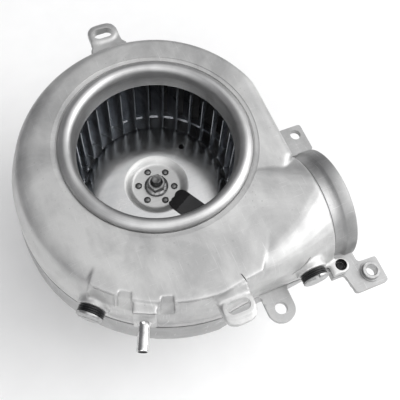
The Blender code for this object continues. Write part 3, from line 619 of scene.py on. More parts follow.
def soft_black(name, light, dark, roughness, scale=900.0, bump=0.3):
    """Rubber, tape or moulded plastic: a fine skin with dust in its hollows."""
    g = Graph(name, roughness, 0.0)
    skin = g.noise(scale, 4.0, 0.6)
    dust = g.noise(140.0, 4.0, 0.6)
    tone = g.ramp(dust, [(0.4, dark), (0.72, light)])
    rough = g.span(dust, 0.35, 0.65, roughness - 0.08, roughness + 0.1)
    relief = g.sum_of(skin, 0.7, dust, 0.4)
    return g.finish(tone, rough, relief, bump, 0.0002)


def stacked_sheet(name, light, dark, roughness, pitch):
    """A stack of thin sheets: one line for each, a little varnish and rust between."""
    g = Graph(name, roughness, 0.8)
    z = g.add("SeparateXYZ", {"Vector": g.place}).outputs["Z"]
    wave = g.math("SINE", g.times(z, 2 * math.pi / (pitch * MM)))
    cloud = g.noise(160.0, 4.0, 0.6)
    line = g.span(wave, -1.0, -0.4, 1.0, 0.0)
    tone = g.ramp(cloud, [(0.35, dark), (0.65, light)])
    tone = g.mix(g.times(line, 0.7), tone, (0.05, 0.045, 0.04))
    relief = g.plus(wave, g.times(cloud, 0.6))
    return g.finish(tone, g.span(cloud, 0.3, 0.7, roughness - 0.08, roughness + 0.12), relief, 0.5, 0.0002)


def wound_wire(name, light, dark, pitch):
    """Enamelled copper wire: parallel turns with a varnished gloss. The tone runs dark to light across each
    turn: painted shade in the grooves between turns.
    """
    g = Graph(name, 0.3, 0.9)
    parts = g.add("SeparateXYZ", {"Vector": g.place})
    across = g.plus(parts.outputs["Z"], g.times(parts.outputs["X"], 0.8))
    across = g.plus(across, g.times(parts.outputs["Y"], 0.8))
    wave = g.math("SINE", g.times(across, 2 * math.pi / (pitch * MM)))
    cloud = g.noise(240.0, 3.0, 0.6)
    # Painted shade: the wave darkens each turn towards the groove beside it.
    tone = g.ramp(g.plus(g.times(g.span(wave, -1.0, 1.0, 0.0, 1.0), 0.6),
                         g.times(cloud, 0.4)), [(0.2, dark), (0.7, light)])
    return g.finish(tone, g.span(cloud, 0.3, 0.7, 0.24, 0.42), wave, 0.7, 0.00025)


COVER_METAL = cast_metal("cast_cover", (0.66, 0.66, 0.655), (0.47, 0.47, 0.47), 0.56)
# A darker copy of the cover's cast aluminium: painted shade on the lower shell and the motor's end shields.
SHADED_BODY_METAL = cast_metal("cast_body_painted_shade", (0.49, 0.49, 0.49), (0.36, 0.36, 0.36), 0.54)
# A near-black copy of the cast aluminium: painted shade on the cavity walls round the wheel.
CAVITY_SHADE_CAST = cast_metal("cavity_painted_shade", (0.16, 0.16, 0.165), (0.08, 0.08, 0.085), 0.7)
INLET_METAL = turned_metal("turned_inlet", (0.64, 0.64, 0.64), (0.42, 0.42, 0.42), 0.48)
BLADE_METAL = sheet_metal("blade_steel", (0.64, 0.66, 0.69), (0.3, 0.32, 0.35), 0.3)
PLATE_METAL = sheet_metal("plate_steel", (0.80, 0.80, 0.80), (0.68, 0.69, 0.70), 0.19)
SEAT_METAL = sheet_metal("seat_steel", (0.82, 0.82, 0.81), (0.7, 0.7, 0.7), 0.46)
DARK_STEEL = plated("dark_steel", (0.27, 0.27, 0.27), (0.11, 0.11, 0.11), 0.34)
NUT_STEEL = plated("nut_steel", (0.5, 0.5, 0.5), (0.24, 0.24, 0.24), 0.3)
SHAFT_STEEL = turned_metal("ground_shaft", (0.62, 0.62, 0.63), (0.42, 0.42, 0.43), 0.26, 0.3)
BRIGHT_ZINC = plated("bright_zinc", (0.72, 0.72, 0.72), (0.56, 0.56, 0.56), 0.1, 0.03)
# Near-black: painted shade inside wells, bores and on screw ends seen down their wells.
BORE_SHADE = plated("painted_bore_shade", (0.05, 0.05, 0.05), (0.015, 0.015, 0.015), 0.5, 0.1)
DULL_ZINC = plated("dull_zinc", (0.52, 0.52, 0.52), (0.34, 0.34, 0.34), 0.4, 0.14)
RUBBER = soft_black("sleeve_rubber", (0.02, 0.02, 0.021), (0.004, 0.004, 0.005), 0.34, 1400.0, 0.12)
GASKET = soft_black("gasket_sheet", (0.09, 0.09, 0.09), (0.04, 0.04, 0.04), 0.8)
TAPE = soft_black("strip_black", (0.012, 0.012, 0.013), (0.003, 0.003, 0.004), 0.7, 700.0, 0.5)
FOIL = soft_black("strip_foil", (0.085, 0.085, 0.088), (0.055, 0.055, 0.057), 0.6, 500.0, 0.12)
LAMINATION = stacked_sheet("laminations", (0.34, 0.34, 0.35), (0.2, 0.2, 0.21), 0.42, 0.5)
COPPER = wound_wire("copper_wire", (0.74, 0.36, 0.17), (0.32, 0.12, 0.05), 0.55)
FAN_PLASTIC = soft_black("fan_plastic", (0.05, 0.05, 0.054), (0.025, 0.025, 0.028), 0.45)
BLOCK_PLASTIC = soft_black("block_plastic", (0.78, 0.75, 0.69), (0.68, 0.65, 0.58), 0.42, 1500.0, 0.12)
BRASS = plated("terminal_brass", (0.78, 0.6, 0.28), (0.55, 0.4, 0.17), 0.26)


# ---- Castings ----

VOXEL = 0.6
COVER_PROFILE = (
    (0.0, 9.0, True, 5.7), (-0.08, 8.0, True, 5.0), (-0.3, 7.0, True, 4.55), (-0.8, 5.7, True, 4.2),
    (-1.6, 4.5, True, 4.0), (-3.0, 3.5, True, 3.65), (-5.0, 2.8, True, 3.2), (-9.0, 2.1, True, 2.4),
    (-15.0, 1.5, False, 1.9), (-25.2, 0.6, False, 1.5), (-25.8, 0.55, False, 0.45), (-29.6, 0.4, False, 0.35),
    (-34.0, 0.4, False, 0.35),
)
BODY_PROFILE = (
    (-26.0, 0.4, False, 0.0), (-33.6, 0.1, False, 0.0), (-36.0, 0.0, False), (-42.0, -0.7, False),
    (-50.0, -0.75, False), (-54.0, 0.0, False), (-57.4, 1.7, False), (-60.0, 4.3, False), (-62.0, 7.8, False),
    (FLOOR_Z, 12.0, False),
)


SCOOP_ANGLES = (-121.2, -107.6)


def near_radius(angle):
    """Radius of the scroll at an angle below zero."""
    return scroll_radius(360 + angle)


def add_ramp(bm, angle, half_widths, stations):
    """A body along a radius: each station is (radius, lower z, upper z)."""
    turn = Matrix.Rotation(math.radians(angle), 2)
    rings = []
    for index, (radius, low_z, high_z) in enumerate(stations):
        share = index / (len(stations) - 1)
        half = half_widths[0] + (half_widths[1] - half_widths[0]) * share
        ring = []
        for side, z in ((-1, low_z), (1, low_z), (1, high_z), (-1, high_z)):
            x, y = turn @ Vector((radius, side * half))
            ring.append((x, y, z))
        rings.append(ring)
    add_loft(bm, rings)


def add_rib(bm, angle, shift, start, end, radius):
    """A rounded rib down a radius, set sideways by shift. The ends are (radius, z)."""
    turn = Matrix.Rotation(math.radians(angle), 2)
    first = turn @ Vector((start[0], shift))
    last = turn @ Vector((end[0], shift))
    add_rod(bm, (*first, start[1]), (*last, end[1]), radius, 16)


def add_near_details(bm):
    """Ribs, platforms and fins on the cover's near side."""
    for angle in SCOOP_ANGLES:
        wall = near_radius(angle)
        for shift in (-4.1, 4.1):
            add_rib(bm, angle, shift, (wall - 6.6, -0.75), (wall - 3.4, -3.4), 0.9)
            add_rib(bm, angle, shift, (wall - 3.4, -3.4), (wall - 2.1, -11.0), 0.7)
    wall = near_radius(-133.3)
    add_rib(bm, -133.3, 0.0, (wall - 7.0, -0.6), (wall - 2.6, -4.6), 1.0)
    add_rib(bm, -133.3, 0.0, (wall - 2.6, -4.6), (wall - 0.8, -18.0), 0.9)
    x, y = polar(90.0, PAD_ANGLE)
    end = polar(92.2, PAD_ANGLE)
    add_rod(bm, (x, y, -13.2), (*end, -13.2), 5.0, 48)
    add_loft(bm, [
        [(-4.0, -83.0, -0.5), (12.4, -82.0, -0.5), (12.4, -82.0, -7.0), (-4.0, -83.0, -7.0)],
        [(-4.0, -87.6, -1.2), (12.8, -87.0, -1.2), (12.8, -87.0, -7.0), (-4.0, -87.6, -7.0)],
        [(-3.6, -91.4, -4.7), (13.1, -91.4, -4.7), (13.1, -91.4, -7.0), (-3.6, -91.4, -7.0)],
    ])
    add_rod(bm, (-5.0, -88.0, -2.6), (-7.6, -89.4, -15.0), 0.9, 16)
    face = ((38.6, -28.6), (60.4, -28.6), (60.4, -13.8), (50.0, -10.6), (39.6, -17.4))
    lowered = [(x, -86.5, z - (5.0 if z > -20 else 0)) for x, z in face]
    add_loft(bm, [lowered, [(x, -77.0, z) for x, z in face]])
    add_box(bm, (14.0, -88.2, -34.0), (62.0, -84.0, -26.8))


def add_arc_groove(bm, start, end, depth_radius, low_z, high_z):
    """A curved cutter along the near wall's upper edge."""
    rings = []
    for k in range(13):
        angle = start + (end - start) * k / 12
        wall = near_radius(angle)
        inner = polar(wall - depth_radius, angle)
        outer = polar(wall - depth_radius + 3.0, angle)
        rings.append([(*inner, low_z), (*outer, low_z), (*outer, high_z), (*inner, high_z)])
    add_loft(bm, rings)


def cut_scoops(bm):
    """Slanted scoops beside the nipple pad."""
    for angle in SCOOP_ANGLES:
        wall = near_radius(angle)
        stations = ((wall - 7.6, -0.1, 3.0), (wall - 4.9, -3.4, 3.0), (wall - 4.3, -9.0, 3.0),
                    (wall - 2.4, -12.5, 3.0), (wall + 3.0, -12.5, 3.0))
        add_ramp(bm, angle, (2.9, 3.5), stations)


def cut_near_lines(bm):
    """Fine dark lines: the wall's upper edge, the pad's step, the lug's side and the slit over the plug."""
    add_arc_groove(bm, -131.6, -124.6, 4.5, -1.5, -0.75)
    add_arc_groove(bm, -104.4, -93.2, 4.5, -1.5, -0.75)
    turn = Matrix.Rotation(math.radians(PAD_ANGLE), 2)
    step = ((86.9, -2.6), (92.0, -2.6), (92.0, -1.9), (86.9, -1.9))
    add_loft(bm, [[(*(turn @ Vector((r, side))), z) for r, z in step] for side in (-5.4, 5.4)])
    add_loft(bm, [
        [(11.1, -82.0, -1.0), (11.7, -82.0, -1.0), (11.7, -82.0, 3.0), (11.1, -82.0, 3.0)],
        [(12.6, -87.4, -2.0), (13.2, -87.4, -2.0), (13.2, -87.4, 3.0), (12.6, -87.4, 3.0)],
        [(13.4, -92.4, -6.4), (14.0, -92.4, -6.4), (14.0, -92.4, 3.0), (13.4, -92.4, 3.0)],
    ])
    add_loft(bm, [
        [(39.2, y, -17.3), (50.0, y, -10.0), (50.0, y, -8.9), (39.2, y, -16.2)] for y in (-84.4, -95.0)
    ])


def duct_rings(stations, per_span=5):
    return [duct_ring(*station) for station in spline(stations, per_span)]


def half_space(bm, low_z, high_z):
    add_box(bm, (-200, -200, low_z), (200, 200, high_z))


def cut_cavity(bm):
    add_loft(bm, [cavity_ring(*level) for level in CAVITY])


def cut_duct(bm):
    add_loft(bm, duct_rings(INNER_DUCT))


# Limits of the painted shade in the cavity: it stops short of the outlet and the near lugs.
SHADE_END_X = 55.0
SHADE_LOW_Y = -84.0
SEAM = 0.25


def in_cavity(polygon):
    """True for a face of the walls round the wheel; these faces get the near-black painted shade."""
    centre = polygon.center
    angle = math.degrees(math.atan2(centre.y, centre.x)) % 360
    if centre.z > (TOP - 2.2) * MM or centre.xy.length > (scroll_radius(angle) - 1.0) * MM:
        return False
    if centre.x > SHADE_END_X * MM or (centre.y < SHADE_LOW_Y * MM and centre.x > 8 * MM):
        return False
    inward = (at(0, 0, SPLIT) - centre).normalized()
    return polygon.normal.dot(inward) > 0.3 and abs(polygon.normal.z) < 0.9


def make_cover():
    bm = bmesh.new()
    add_loft(bm, [outer_ring(*level) for level in COVER_PROFILE])
    add_loft(bm, duct_rings(OUTER_DUCT))
    rear = (
        (-11.2, 62), (10.4, 62), (10.0, 73.4), (8.0, 75.4), (7.8, 90), (-9.3, 90), (-9.7, 75.2),
        (-11.4, 73.2),
    )
    add_prism(bm, rounded_outline(rear, (0, 0, 1, 1, 6, 6, 1, 1)), -8.6, -12.2)
    add_prism(bm, capsule_outline(*REAR_SLOT, 15.4, 10.9), -7.7, -10.6)
    near = ((-4.0, -103.4), (13.2, -103.4), (13.2, -80), (-4.0, -80))
    add_prism(bm, rounded_outline(near, (6, 6, 0, 0)), -4.6, -8.2)
    add_prism(bm, capsule_outline(*NEAR_SLOT, 16.4, 10.7), -3.7, -6.6)
    add_box(bm, (83.0, -5.8, -27.0), (91.0, 5.8, -1.6), PAD_ANGLE)
    for x, y, z, angle in plug_places().values():
        first = polar(-5.0, angle)
        add_rod(bm, (x + first[0], y + first[1], z), (x, y, z), 8.2, 48)
    for x, y in screw_places():
        ear_top = -27.2 if (x, y) == OUTLET_SCREW else -26.0
        add_rod(bm, (x, y, -34.0), (x, y, ear_top), 4.6, 32)
    for angle in COVER_SCREW_ANGLES:
        radius = scroll_radius(angle)
        add_box(bm, (radius - 2.4, -4.6, -34.0), (radius + 4.7, 4.6, -26.2), angle)
    x, y = OUTLET_SCREW
    add_box(bm, (63.5, y - 4.4, -34.0), (x, y + 4.4, -27.3))
    add_near_details(bm)
    cover = to_object("cover_casting", bm)
    cast(cover, VOXEL, 1)
    cut(cover, cut_scoops)
    cast(cover, VOXEL, 1)
    cut(cover, cut_near_lines)
    cut(cover, lambda bm: half_space(bm, -60, SPLIT_COVER - SEAM))
    cut(cover, cut_cavity)
    cut(cover, cut_duct)
    dish = [(0, 5), (DISH_RADIUS, 5), (DISH_RADIUS, -0.35), (SEAT_RADIUS + 0.6, -0.6),
            (SEAT_RADIUS + 0.6, -1.2), (SEAT_RADIUS, -1.2), (SEAT_RADIUS, -2.0), (SEAT_HOLE, -2.0),
            (SEAT_HOLE, -9), (0, -9)]
    cut(cover, lambda bm: add_turned(bm, dish, 160))

    def holes(bm):
        add_prism(bm, capsule_outline(*REAR_SLOT, 11.0, 6.5), 0, -16)
        add_prism(bm, capsule_outline(*NEAR_SLOT, 12.0, 6.3), 3, -16)
        well = [(0, -40), (2.3, -40), (2.3, -28.9), (3.2, -28.9), (3.2, -15), (0, -15)]
        for px, py in screw_places():
            add_turned(bm, well, 32, False, upright(px, py))
        add_rod(bm, (*polar(80.0, PAD_ANGLE), NIPPLE_Z), (*polar(95.0, PAD_ANGLE), NIPPLE_Z), 3.3, 32)
        for px, py, pz, angle in plug_places().values():
            first = polar(-12.0, angle)
            last = polar(4.0, angle)
            add_rod(bm, (px + first[0], py + first[1], pz), (px + last[0], py + last[1], pz), 4.6, 32)

    cut(cover, holes)
    piece(cover, COVER_METAL, HOUSING, "aluminium", "volute_cover")
    wells = [Vector((x * MM, y * MM)) for x, y in screw_places()]

    def in_well(polygon):
        reach = min((polygon.center.xy - well).length for well in wells)
        return polygon.center.z < (TOP - 27.3) * MM and reach < 3.25 * MM

    # Painted shade: the walls and floor of each screw well are near-black.
    paint(cover, BORE_SHADE, in_well)
    # Painted shade on the cover's walls round the wheel.
    paint(cover, CAVITY_SHADE_CAST, in_cavity)


def make_body():
    bm = bmesh.new()
    add_loft(bm, [outer_ring(*level) for level in BODY_PROFILE])
    add_loft(bm, duct_rings(OUTER_DUCT))
    outlines = (
        rounded_outline(((23.2, -106.0), (38.0, -106.0), (38.0, -80), (23.2, -80)), (7.3, 7.3, 0, 0)),
        rounded_outline(
            ((58, -82), (58, -88), (69.5, -93), (71.5, -106.2), (90.4, -106.2), (90.4, -91.5), (79.5, -91.0),
             (79.5, -80)), (0, 3, 7, 1.5, 1.5, 1, 2, 0)),
        rounded_outline(((60, -20.5), (89.0, -20.5), (89.0, -2.6), (60, -2.6)), (0, 1.5, 1.5, 0)),
    )
    for x, y in screw_places():
        add_rod(bm, (x, y, -36.0), (x, y, -26.0), 4.8, 32)
    for angle in COVER_SCREW_ANGLES:
        radius = scroll_radius(angle)
        add_box(bm, (radius - 2.4, -4.6, -35.8), (radius + 4.7, 4.6, -26.0), angle)
    x, y = OUTLET_SCREW
    add_box(bm, (63.5, y - 4.6, -35.8), (x, y + 4.6, -26.0))
    for x, y in motor_screw_places():
        add_rod(bm, (x, y, -68.0), (x, y, -60.0), 6.0, 32)
    for outline in outlines:
        add_prism(bm, outline, -27.0, SPLIT_BODY - 3.2)
    add_box(bm, (14.0, -88.4, -33.4), (62.0, -84.0, -26.0))
    body = to_object("body_casting", bm)
    cast(body, VOXEL, 2)
    cut(body, lambda bm: half_space(bm, SPLIT_BODY + SEAM, 20))
    cut(body, lambda bm: half_space(bm, -90, -66.0))

    place = Matrix.Translation(at(0, OUTLET_Y, OUTLET_Z)) @ Matrix.Rotation(math.radians(90), 4, "Y")
    profile = [
        (20.0, 66.0), (29.2, 66.0), (NECK_RADIUS, 68.3), (NECK_RADIUS - 0.3, 69.4), (NECK_RADIUS - 0.3, 72.6),
        (NECK_RADIUS, 73.6), (COLLAR_RADIUS - 0.5, COLLAR_START), (COLLAR_RADIUS, COLLAR_START + 0.6),
        (COLLAR_RADIUS, COLLAR_FACE - 0.7), (COLLAR_RADIUS - 0.7, COLLAR_FACE), (20.0, COLLAR_FACE),
    ]
    ring = turned("collar", profile, 128, True, place)
    cut(ring, lambda bm: add_box(bm, (50, -120, SPLIT_BODY), (68.25, 20, 20)))
    boolean(body, ring, "UNION")
    bm = bmesh.new()
    add_rod(bm, (*BUSH, SPLIT_BODY - 3.0), (*BUSH, SPLIT_BODY + 1.0), 5.6, 48)
    add_prism(bm, capsule_outline(25.6, -92.4, 5.6, 3.6), SPLIT_BODY + 0.55, SPLIT_BODY - 1.0)
    boolean(body, to_object("bush_seat", bm), "UNION")
    cut(body, cut_cavity)
    cut(body, cut_duct)

    def holes(bm):
        add_rod(bm, (0, 0, -75), (0, 0, -55), 9.0, 64)
        for place, radius in ((ROUND_LUG, 3.3), (BUSH, 4.0), (FAR_LUG, 3.1)):
            add_rod(bm, (*place, -40), (*place, -20), radius, 48)
        for px, py in screw_places():
            add_rod(bm, (px, py, -40), (px, py, -20), 2.3, 24)
        for px, py in motor_screw_places():
            add_rod(bm, (px, py, -70), (px, py, -62), 2.0, 24)

    cut(body, holes)
    # The lower shell takes the darker cast copy: painted shade.
    piece(body, SHADED_BODY_METAL, HOUSING, "aluminium", "volute_body")
    # Painted shade on the body's walls round the wheel.
    paint(body, CAVITY_SHADE_CAST, in_cavity)


def make_inlet():
    """The bellmouth, with a rolled outer edge and a smooth throat."""
    crest = spline([(RING_OUTER, -0.6), (50.3, 0.9), (49.0, 2.15), (47.2, RING_CREST), (45.3, 2.5),
                    (43.7, 0.8), (42.75, -2.2), (42.2, -6.0), (42.0, LIP_Z + 0.4)], 5)
    profile = crest + [(42.25, LIP_Z), (43.3, LIP_Z), (43.6, LIP_Z + 0.4), (44.0, -5.0), (45.2, -1.7),
                       (RING_OUTER, -1.7)]
    bellmouth = turned("inlet_bellmouth", profile, 192, True)
    piece(bellmouth, INLET_METAL, HOUSING, "machined_aluminium", "inlet_ring", angle=45)


# ---- Fittings ----

def make_plugs():
    for side, place in plug_places().items():
        sleeve = []
        for rib in range(3):
            top = 3.4 - 1.05 * rib
            sleeve += [(6.6, top), (6.85, top - 0.12), (6.9, top - 0.3), (6.85, top - 0.5), (6.5, top - 0.66),
                       (6.2, top - 0.78), (6.2, top - 0.94)]
        sleeve += [(5.6, 0.3), (4.3, 0.3), (4.3, -4.0), (2.5, -4.0), (2.5, 3.4)]
        rubber = turned(side + "_rubber", sleeve, 64, True, sideways(*place))
        piece(rubber, RUBBER, HOUSING, "rubber", side + "_sleeve", angle=50)
        cap = [(0, 5.2), (3.0, 5.25), (5.6, 5.22), (6.3, 5.1), (6.75, 4.8), (6.9, 4.4), (6.9, 3.8),
               (6.7, 3.7), (2.2, 3.7), (2.2, -2.8), (2.0, -3.0), (0, -3.0)]
        disc = turned(side + "_disc", cap, 64, False, sideways(*place))

        def slot(bm, place=place, side=side):
            made = bmesh.ops.create_cube(bm, size=1.0)["verts"]
            if side == "left_plug":
                bmesh.ops.scale(bm, vec=(11.0 * MM, 0.8 * MM, 0.8 * MM), verts=made)
                shift = Vector((0, 0, 5.2 * MM))
            else:
                bmesh.ops.scale(bm, vec=(2.4 * MM, 2.2 * MM, 2.0 * MM), verts=made)
                shift = Vector((-0.6 * MM, 6.6 * MM, 4.9 * MM))
            bmesh.ops.translate(bm, vec=shift, verts=made)
            bmesh.ops.transform(bm, matrix=sideways(*place), verts=made)

        cut(disc, slot)
        piece(disc, DULL_ZINC, HOUSING, "zinc_plate", side + "_cap")


def make_nipple():
    place = sideways(*polar(NIPPLE_RADIUS, PAD_ANGLE), NIPPLE_Z, PAD_ANGLE)
    profile = spline([(3.0, 13.9), (3.0, 8.0), (2.95, 3.4), (3.15, 1.9), (3.7, 0.9), (4.4, 0.35)], 4)
    profile += [(4.4, 0.0), (2.9, 0.0), (2.9, -6.0), (2.0, -6.0), (2.0, 14.3), (2.3, 14.6), (2.75, 14.6),
                (2.95, 14.4)]
    nipple = turned("nipple_tube", profile, 64, True, place)
    piece(nipple, BRIGHT_ZINC, HOUSING, "zinc_plate", "pressure_nipple", angle=45)
    direction = Vector((*polar(1.0, PAD_ANGLE), 0))

    def in_bore(polygon):
        offset = polygon.center - place.translation
        return (offset - direction * offset.dot(direction)).length < 2.2 * MM

    # Painted shade inside the tube's bore.
    paint(nipple, BORE_SHADE, in_bore)


def make_bush():
    top = SPLIT_BODY
    profile = [(4.55, top + 2.9), (4.8, top + 2.65), (4.8, top + 1.3), (3.7, top + 1.3), (3.7, top - 3.2),
               (2.9, top - 3.2), (2.9, top + 2.6), (3.2, top + 2.9)]
    bush = turned("bush_ring", profile, 64, True, upright(*BUSH))
    piece(bush, DULL_ZINC, HOUSING, "zinc_plate", "bracket_bush")


def socket_screw(name, node, x, y, head_low, head_high, radius, shank_high, shank_radius, socket):
    """A cap screw seen from below, with a hexagon socket and a chamfered head."""
    profile = [(0, head_low), (radius - 0.4, head_low), (radius, head_low + 0.4), (radius, head_high),
               (shank_radius, head_high), (shank_radius, shank_high - 0.3), (shank_radius - 0.3, shank_high),
               (0, shank_high)]
    screw = turned(name, profile, 40, False, upright(x, y))
    cut(screw, lambda tool: add_rod(tool, (x, y, head_low - 1), (x, y, head_low + 1.5), socket, 6))
    piece(screw, DULL_ZINC, HOUSING, "zinc_plate", node)
    # Painted shade: the shank above the head is near-black, to read as the dark well it stands in.
    paint(screw, BORE_SHADE, lambda polygon: polygon.center.z > (TOP + head_high) * MM)


def make_screws():
    for index, (x, y) in enumerate(screw_places(), start=1):
        names = (f"casing_screw_{index}", f"cover_screw_{index}")
        socket_screw(*names, x, y, -39.4, -36.3, 3.8, -29.3, 2.0, 1.7)
    for index, (x, y) in enumerate(motor_screw_places(), start=1):
        names = (f"long_screw_{index}", f"motor_screw_{index}")
        socket_screw(*names, x, y, -109.7, -106.7, 3.5, -62.8, 1.7, 1.5)
        grommet = [(5.7, -66.3), (6.0, -66.6), (6.0, -67.8), (5.7, -68.2), (5.0, -68.5), (5.0, -69.5),
                   (5.7, -69.8), (6.0, -70.2), (6.0, -71.4), (5.7, -71.7), (2.0, -71.7), (2.0, -66.3)]
        mount = turned(f"rubber_mount_{index}", grommet, 40, True, upright(x, y))
        piece(mount, RUBBER, HOUSING, "rubber", f"motor_grommet_{index}", angle=35)


# ---- Wheel ----

def blade_section(angle, steps=9):
    """A forward-curved section, rounded at its inner edge."""
    front = []
    back = []
    half_thickness = 0.35
    for k in range(steps + 1):
        share = k / steps
        radius = BLADE_INNER + 0.35 + (BLADE_OUTER - 0.3 - BLADE_INNER - 0.35) * share
        lean = -2.6 * share + 11.0 * share ** 2
        half = math.degrees(half_thickness / radius)
        front.append(polar(radius, angle + lean + half))
        back.append(polar(radius, angle + lean - half))
    nose = [polar(BLADE_INNER + 0.1, angle + 0.25), polar(BLADE_INNER, angle),
            polar(BLADE_INNER + 0.1, angle - 0.25)]
    return nose + back + front[::-1]


def make_blades():
    bm = bmesh.new()
    for index in range(BLADES):
        section = blade_section(BLADE_PHASE + index * 360 / BLADES)
        add_prism(bm, section, BLADE_TOP - 0.1, BLADE_BOTTOM + 0.1)
    inner = BLADE_OUTER - 3.2
    for top, bottom in ((BLADE_TOP, BLADE_TOP - 0.6), (BLADE_BOTTOM + 0.6, BLADE_BOTTOM)):
        band = [(BLADE_OUTER - 0.15, top), (BLADE_OUTER, top - 0.15), (BLADE_OUTER, bottom + 0.15),
                (BLADE_OUTER - 0.15, bottom), (inner, bottom), (inner, top)]
        add_turned(bm, band, 160, True)
    for index in range(BLADES):
        turn = BLADE_PHASE + (index + 0.42) * 360 / BLADES
        low_z = BLADE_BOTTOM + 0.5
        add_box(bm, (inner + 1.6, -0.45, low_z), (inner + 2.6, 0.45, low_z + 0.45), turn)
    piece(to_object("blade_ring", bm), BLADE_METAL, IMPELLER, "steel", "wheel_blade_strip")


def make_front_ring():
    profile = [(WHEEL_RADIUS - 0.2, -13.1), (WHEEL_RADIUS, -13.3), (WHEEL_RADIUS, -13.7),
               (WHEEL_RADIUS - 0.2, -13.9), (46.3, -13.9), (46.0, -13.6), (46.0, -13.4), (46.3, -13.1)]
    rim = turned("wheel_rim", profile, 160, True)
    piece(rim, PLATE_METAL, IMPELLER, "steel", "wheel_front_ring")


def make_plate():
    upper = [(WHEEL_RADIUS, PLATE_RIM - 0.2), (WHEEL_RADIUS - 0.2, PLATE_RIM), (43.5, PLATE_RIM)]
    upper += spline([(42.6, PLATE_RIM), (41.9, -54.7), (41.3, -53.0), (40.5, -51.4), (39.3, -50.2),
                     (37.8, PLATE_CREST - 0.25), (36.0, PLATE_CREST)], 4)
    upper += spline([(19.4, PLATE_CREST), (18.5, PLATE_CREST - 0.06), (17.4, PLATE_CREST - 0.5),
                     (15.6, SEAT_TOP + 1.1)], 4)
    upper += spline([(14.9, SEAT_TOP + 0.6), (14.0, SEAT_TOP + 0.12), (12.9, SEAT_TOP)], 3)
    upper += [(3.5, SEAT_TOP), (3.3, SEAT_TOP - 0.2)]
    lower = [(max(radius, 3.3), height - 1.0) for radius, height in upper[1:-1]]
    lower[0] = (WHEEL_RADIUS, PLATE_RIM - 0.8)
    lower.insert(1, (WHEEL_RADIUS - 0.2, PLATE_RIM - 1.0))
    plate = turned("back_plate", upper[::-1] + lower, 160, True)

    def holes(bm):
        x, y = polar(29.3, 38.2)
        add_rod(bm, (x, y, -60), (x, y, -45), 1.6, 32)
        for k in range(6):
            px, py = polar(RIVET_CIRCLE, RIVET_PHASE + 60 * k)
            add_rod(bm, (px, py, -60), (px, py, -45), 1.35, 20)

    cut(plate, holes)
    piece(plate, PLATE_METAL, IMPELLER, "steel", "wheel_back_plate", angle=30)
    paint(plate, SEAT_METAL, lambda face: face.center.xy.length < 18.7 * MM and face.normal.z > 0.1)


def make_hub():
    profile = [(13.2, -53.3), (13.5, -53.6), (13.5, -55.0), (13.2, -55.3), (6.6, -55.3), (6.0, -55.9),
               (6.0, -59.7), (5.7, -60.0), (3.3, -60.0), (3.3, -53.3)]
    piece(turned("hub_flange", profile, 64, True), SHAFT_STEEL, IMPELLER, "steel", "wheel_hub")
    top = SEAT_TOP
    dome = spline([(0, top + 1.3), (1.0, top + 1.18), (1.7, top + 0.8), (2.0, top + 0.3)], 3)
    outline = dome + [(1.05, top + 0.3), (1.05, -55.6), (1.7, -55.6), (1.7, -56.1), (1.5, -56.3), (0, -56.3)]
    for index in range(6):
        place = upright(*polar(RIVET_CIRCLE, RIVET_PHASE + 60 * index))
        rivet = turned(f"rivet_{index + 1}", outline, 32, False, place)
        piece(rivet, DARK_STEEL, IMPELLER, "zinc_plate", f"hub_rivet_{index + 1}", angle=60)


def make_nut():
    base = SEAT_TOP + 0.3
    bm = bmesh.new()
    add_rod(bm, (0, 0, base + 0.8), (0, 0, base + 5.2), 5.5, 6)
    nut = to_object("flange_nut", bm)
    chamfer = [(0, base - 1), (7, base - 1), (7, base + 3.2), (5.7, base + 4.5), (4.6, base + 5.2),
               (0, base + 5.2)]
    boolean(nut, turned("chamfer", chamfer, 64), "INTERSECT")
    flange = [(0, base), (6.9, base), (7.0, base + 0.1), (7.0, base + 0.6), (6.7, base + 0.95),
              (5.2, base + 1.5), (0, base + 1.5)]
    boolean(nut, turned("flange", flange, 64), "UNION")
    cut(nut, lambda bm: add_turned(bm, [(0, base - 1), (3.3, base - 1), (3.3, base + 4.7), (3.8, base + 5.3),
                                        (3.8, base + 6), (0, base + 6)], 48))
    piece(nut, NUT_STEEL, IMPELLER, "zinc_plate", "wheel_nut", angle=30)


def make_shaft():
    profile = [(0, STUD_TOP - 0.25), (0.8, STUD_TOP - 0.2), (2.0, STUD_TOP), (2.5, STUD_TOP),
               (2.75, STUD_TOP - 0.3)]
    pitch = 0.8
    z = STUD_TOP - 0.6
    while z > -50.0:
        profile += [(2.98, z), (2.98, z - 0.12), (2.66, z - 0.4), (2.66, z - 0.48)]
        z -= pitch
    profile += [(2.98, z), (2.98, -60.3), (3.7, -60.3), (4.0, -60.6), (4.0, SHAFT_BOTTOM + 0.4),
                (3.6, SHAFT_BOTTOM), (0, SHAFT_BOTTOM)]
    piece(turned("threaded_shaft", profile, 48), DARK_STEEL, IMPELLER, "steel", "motor_shaft")


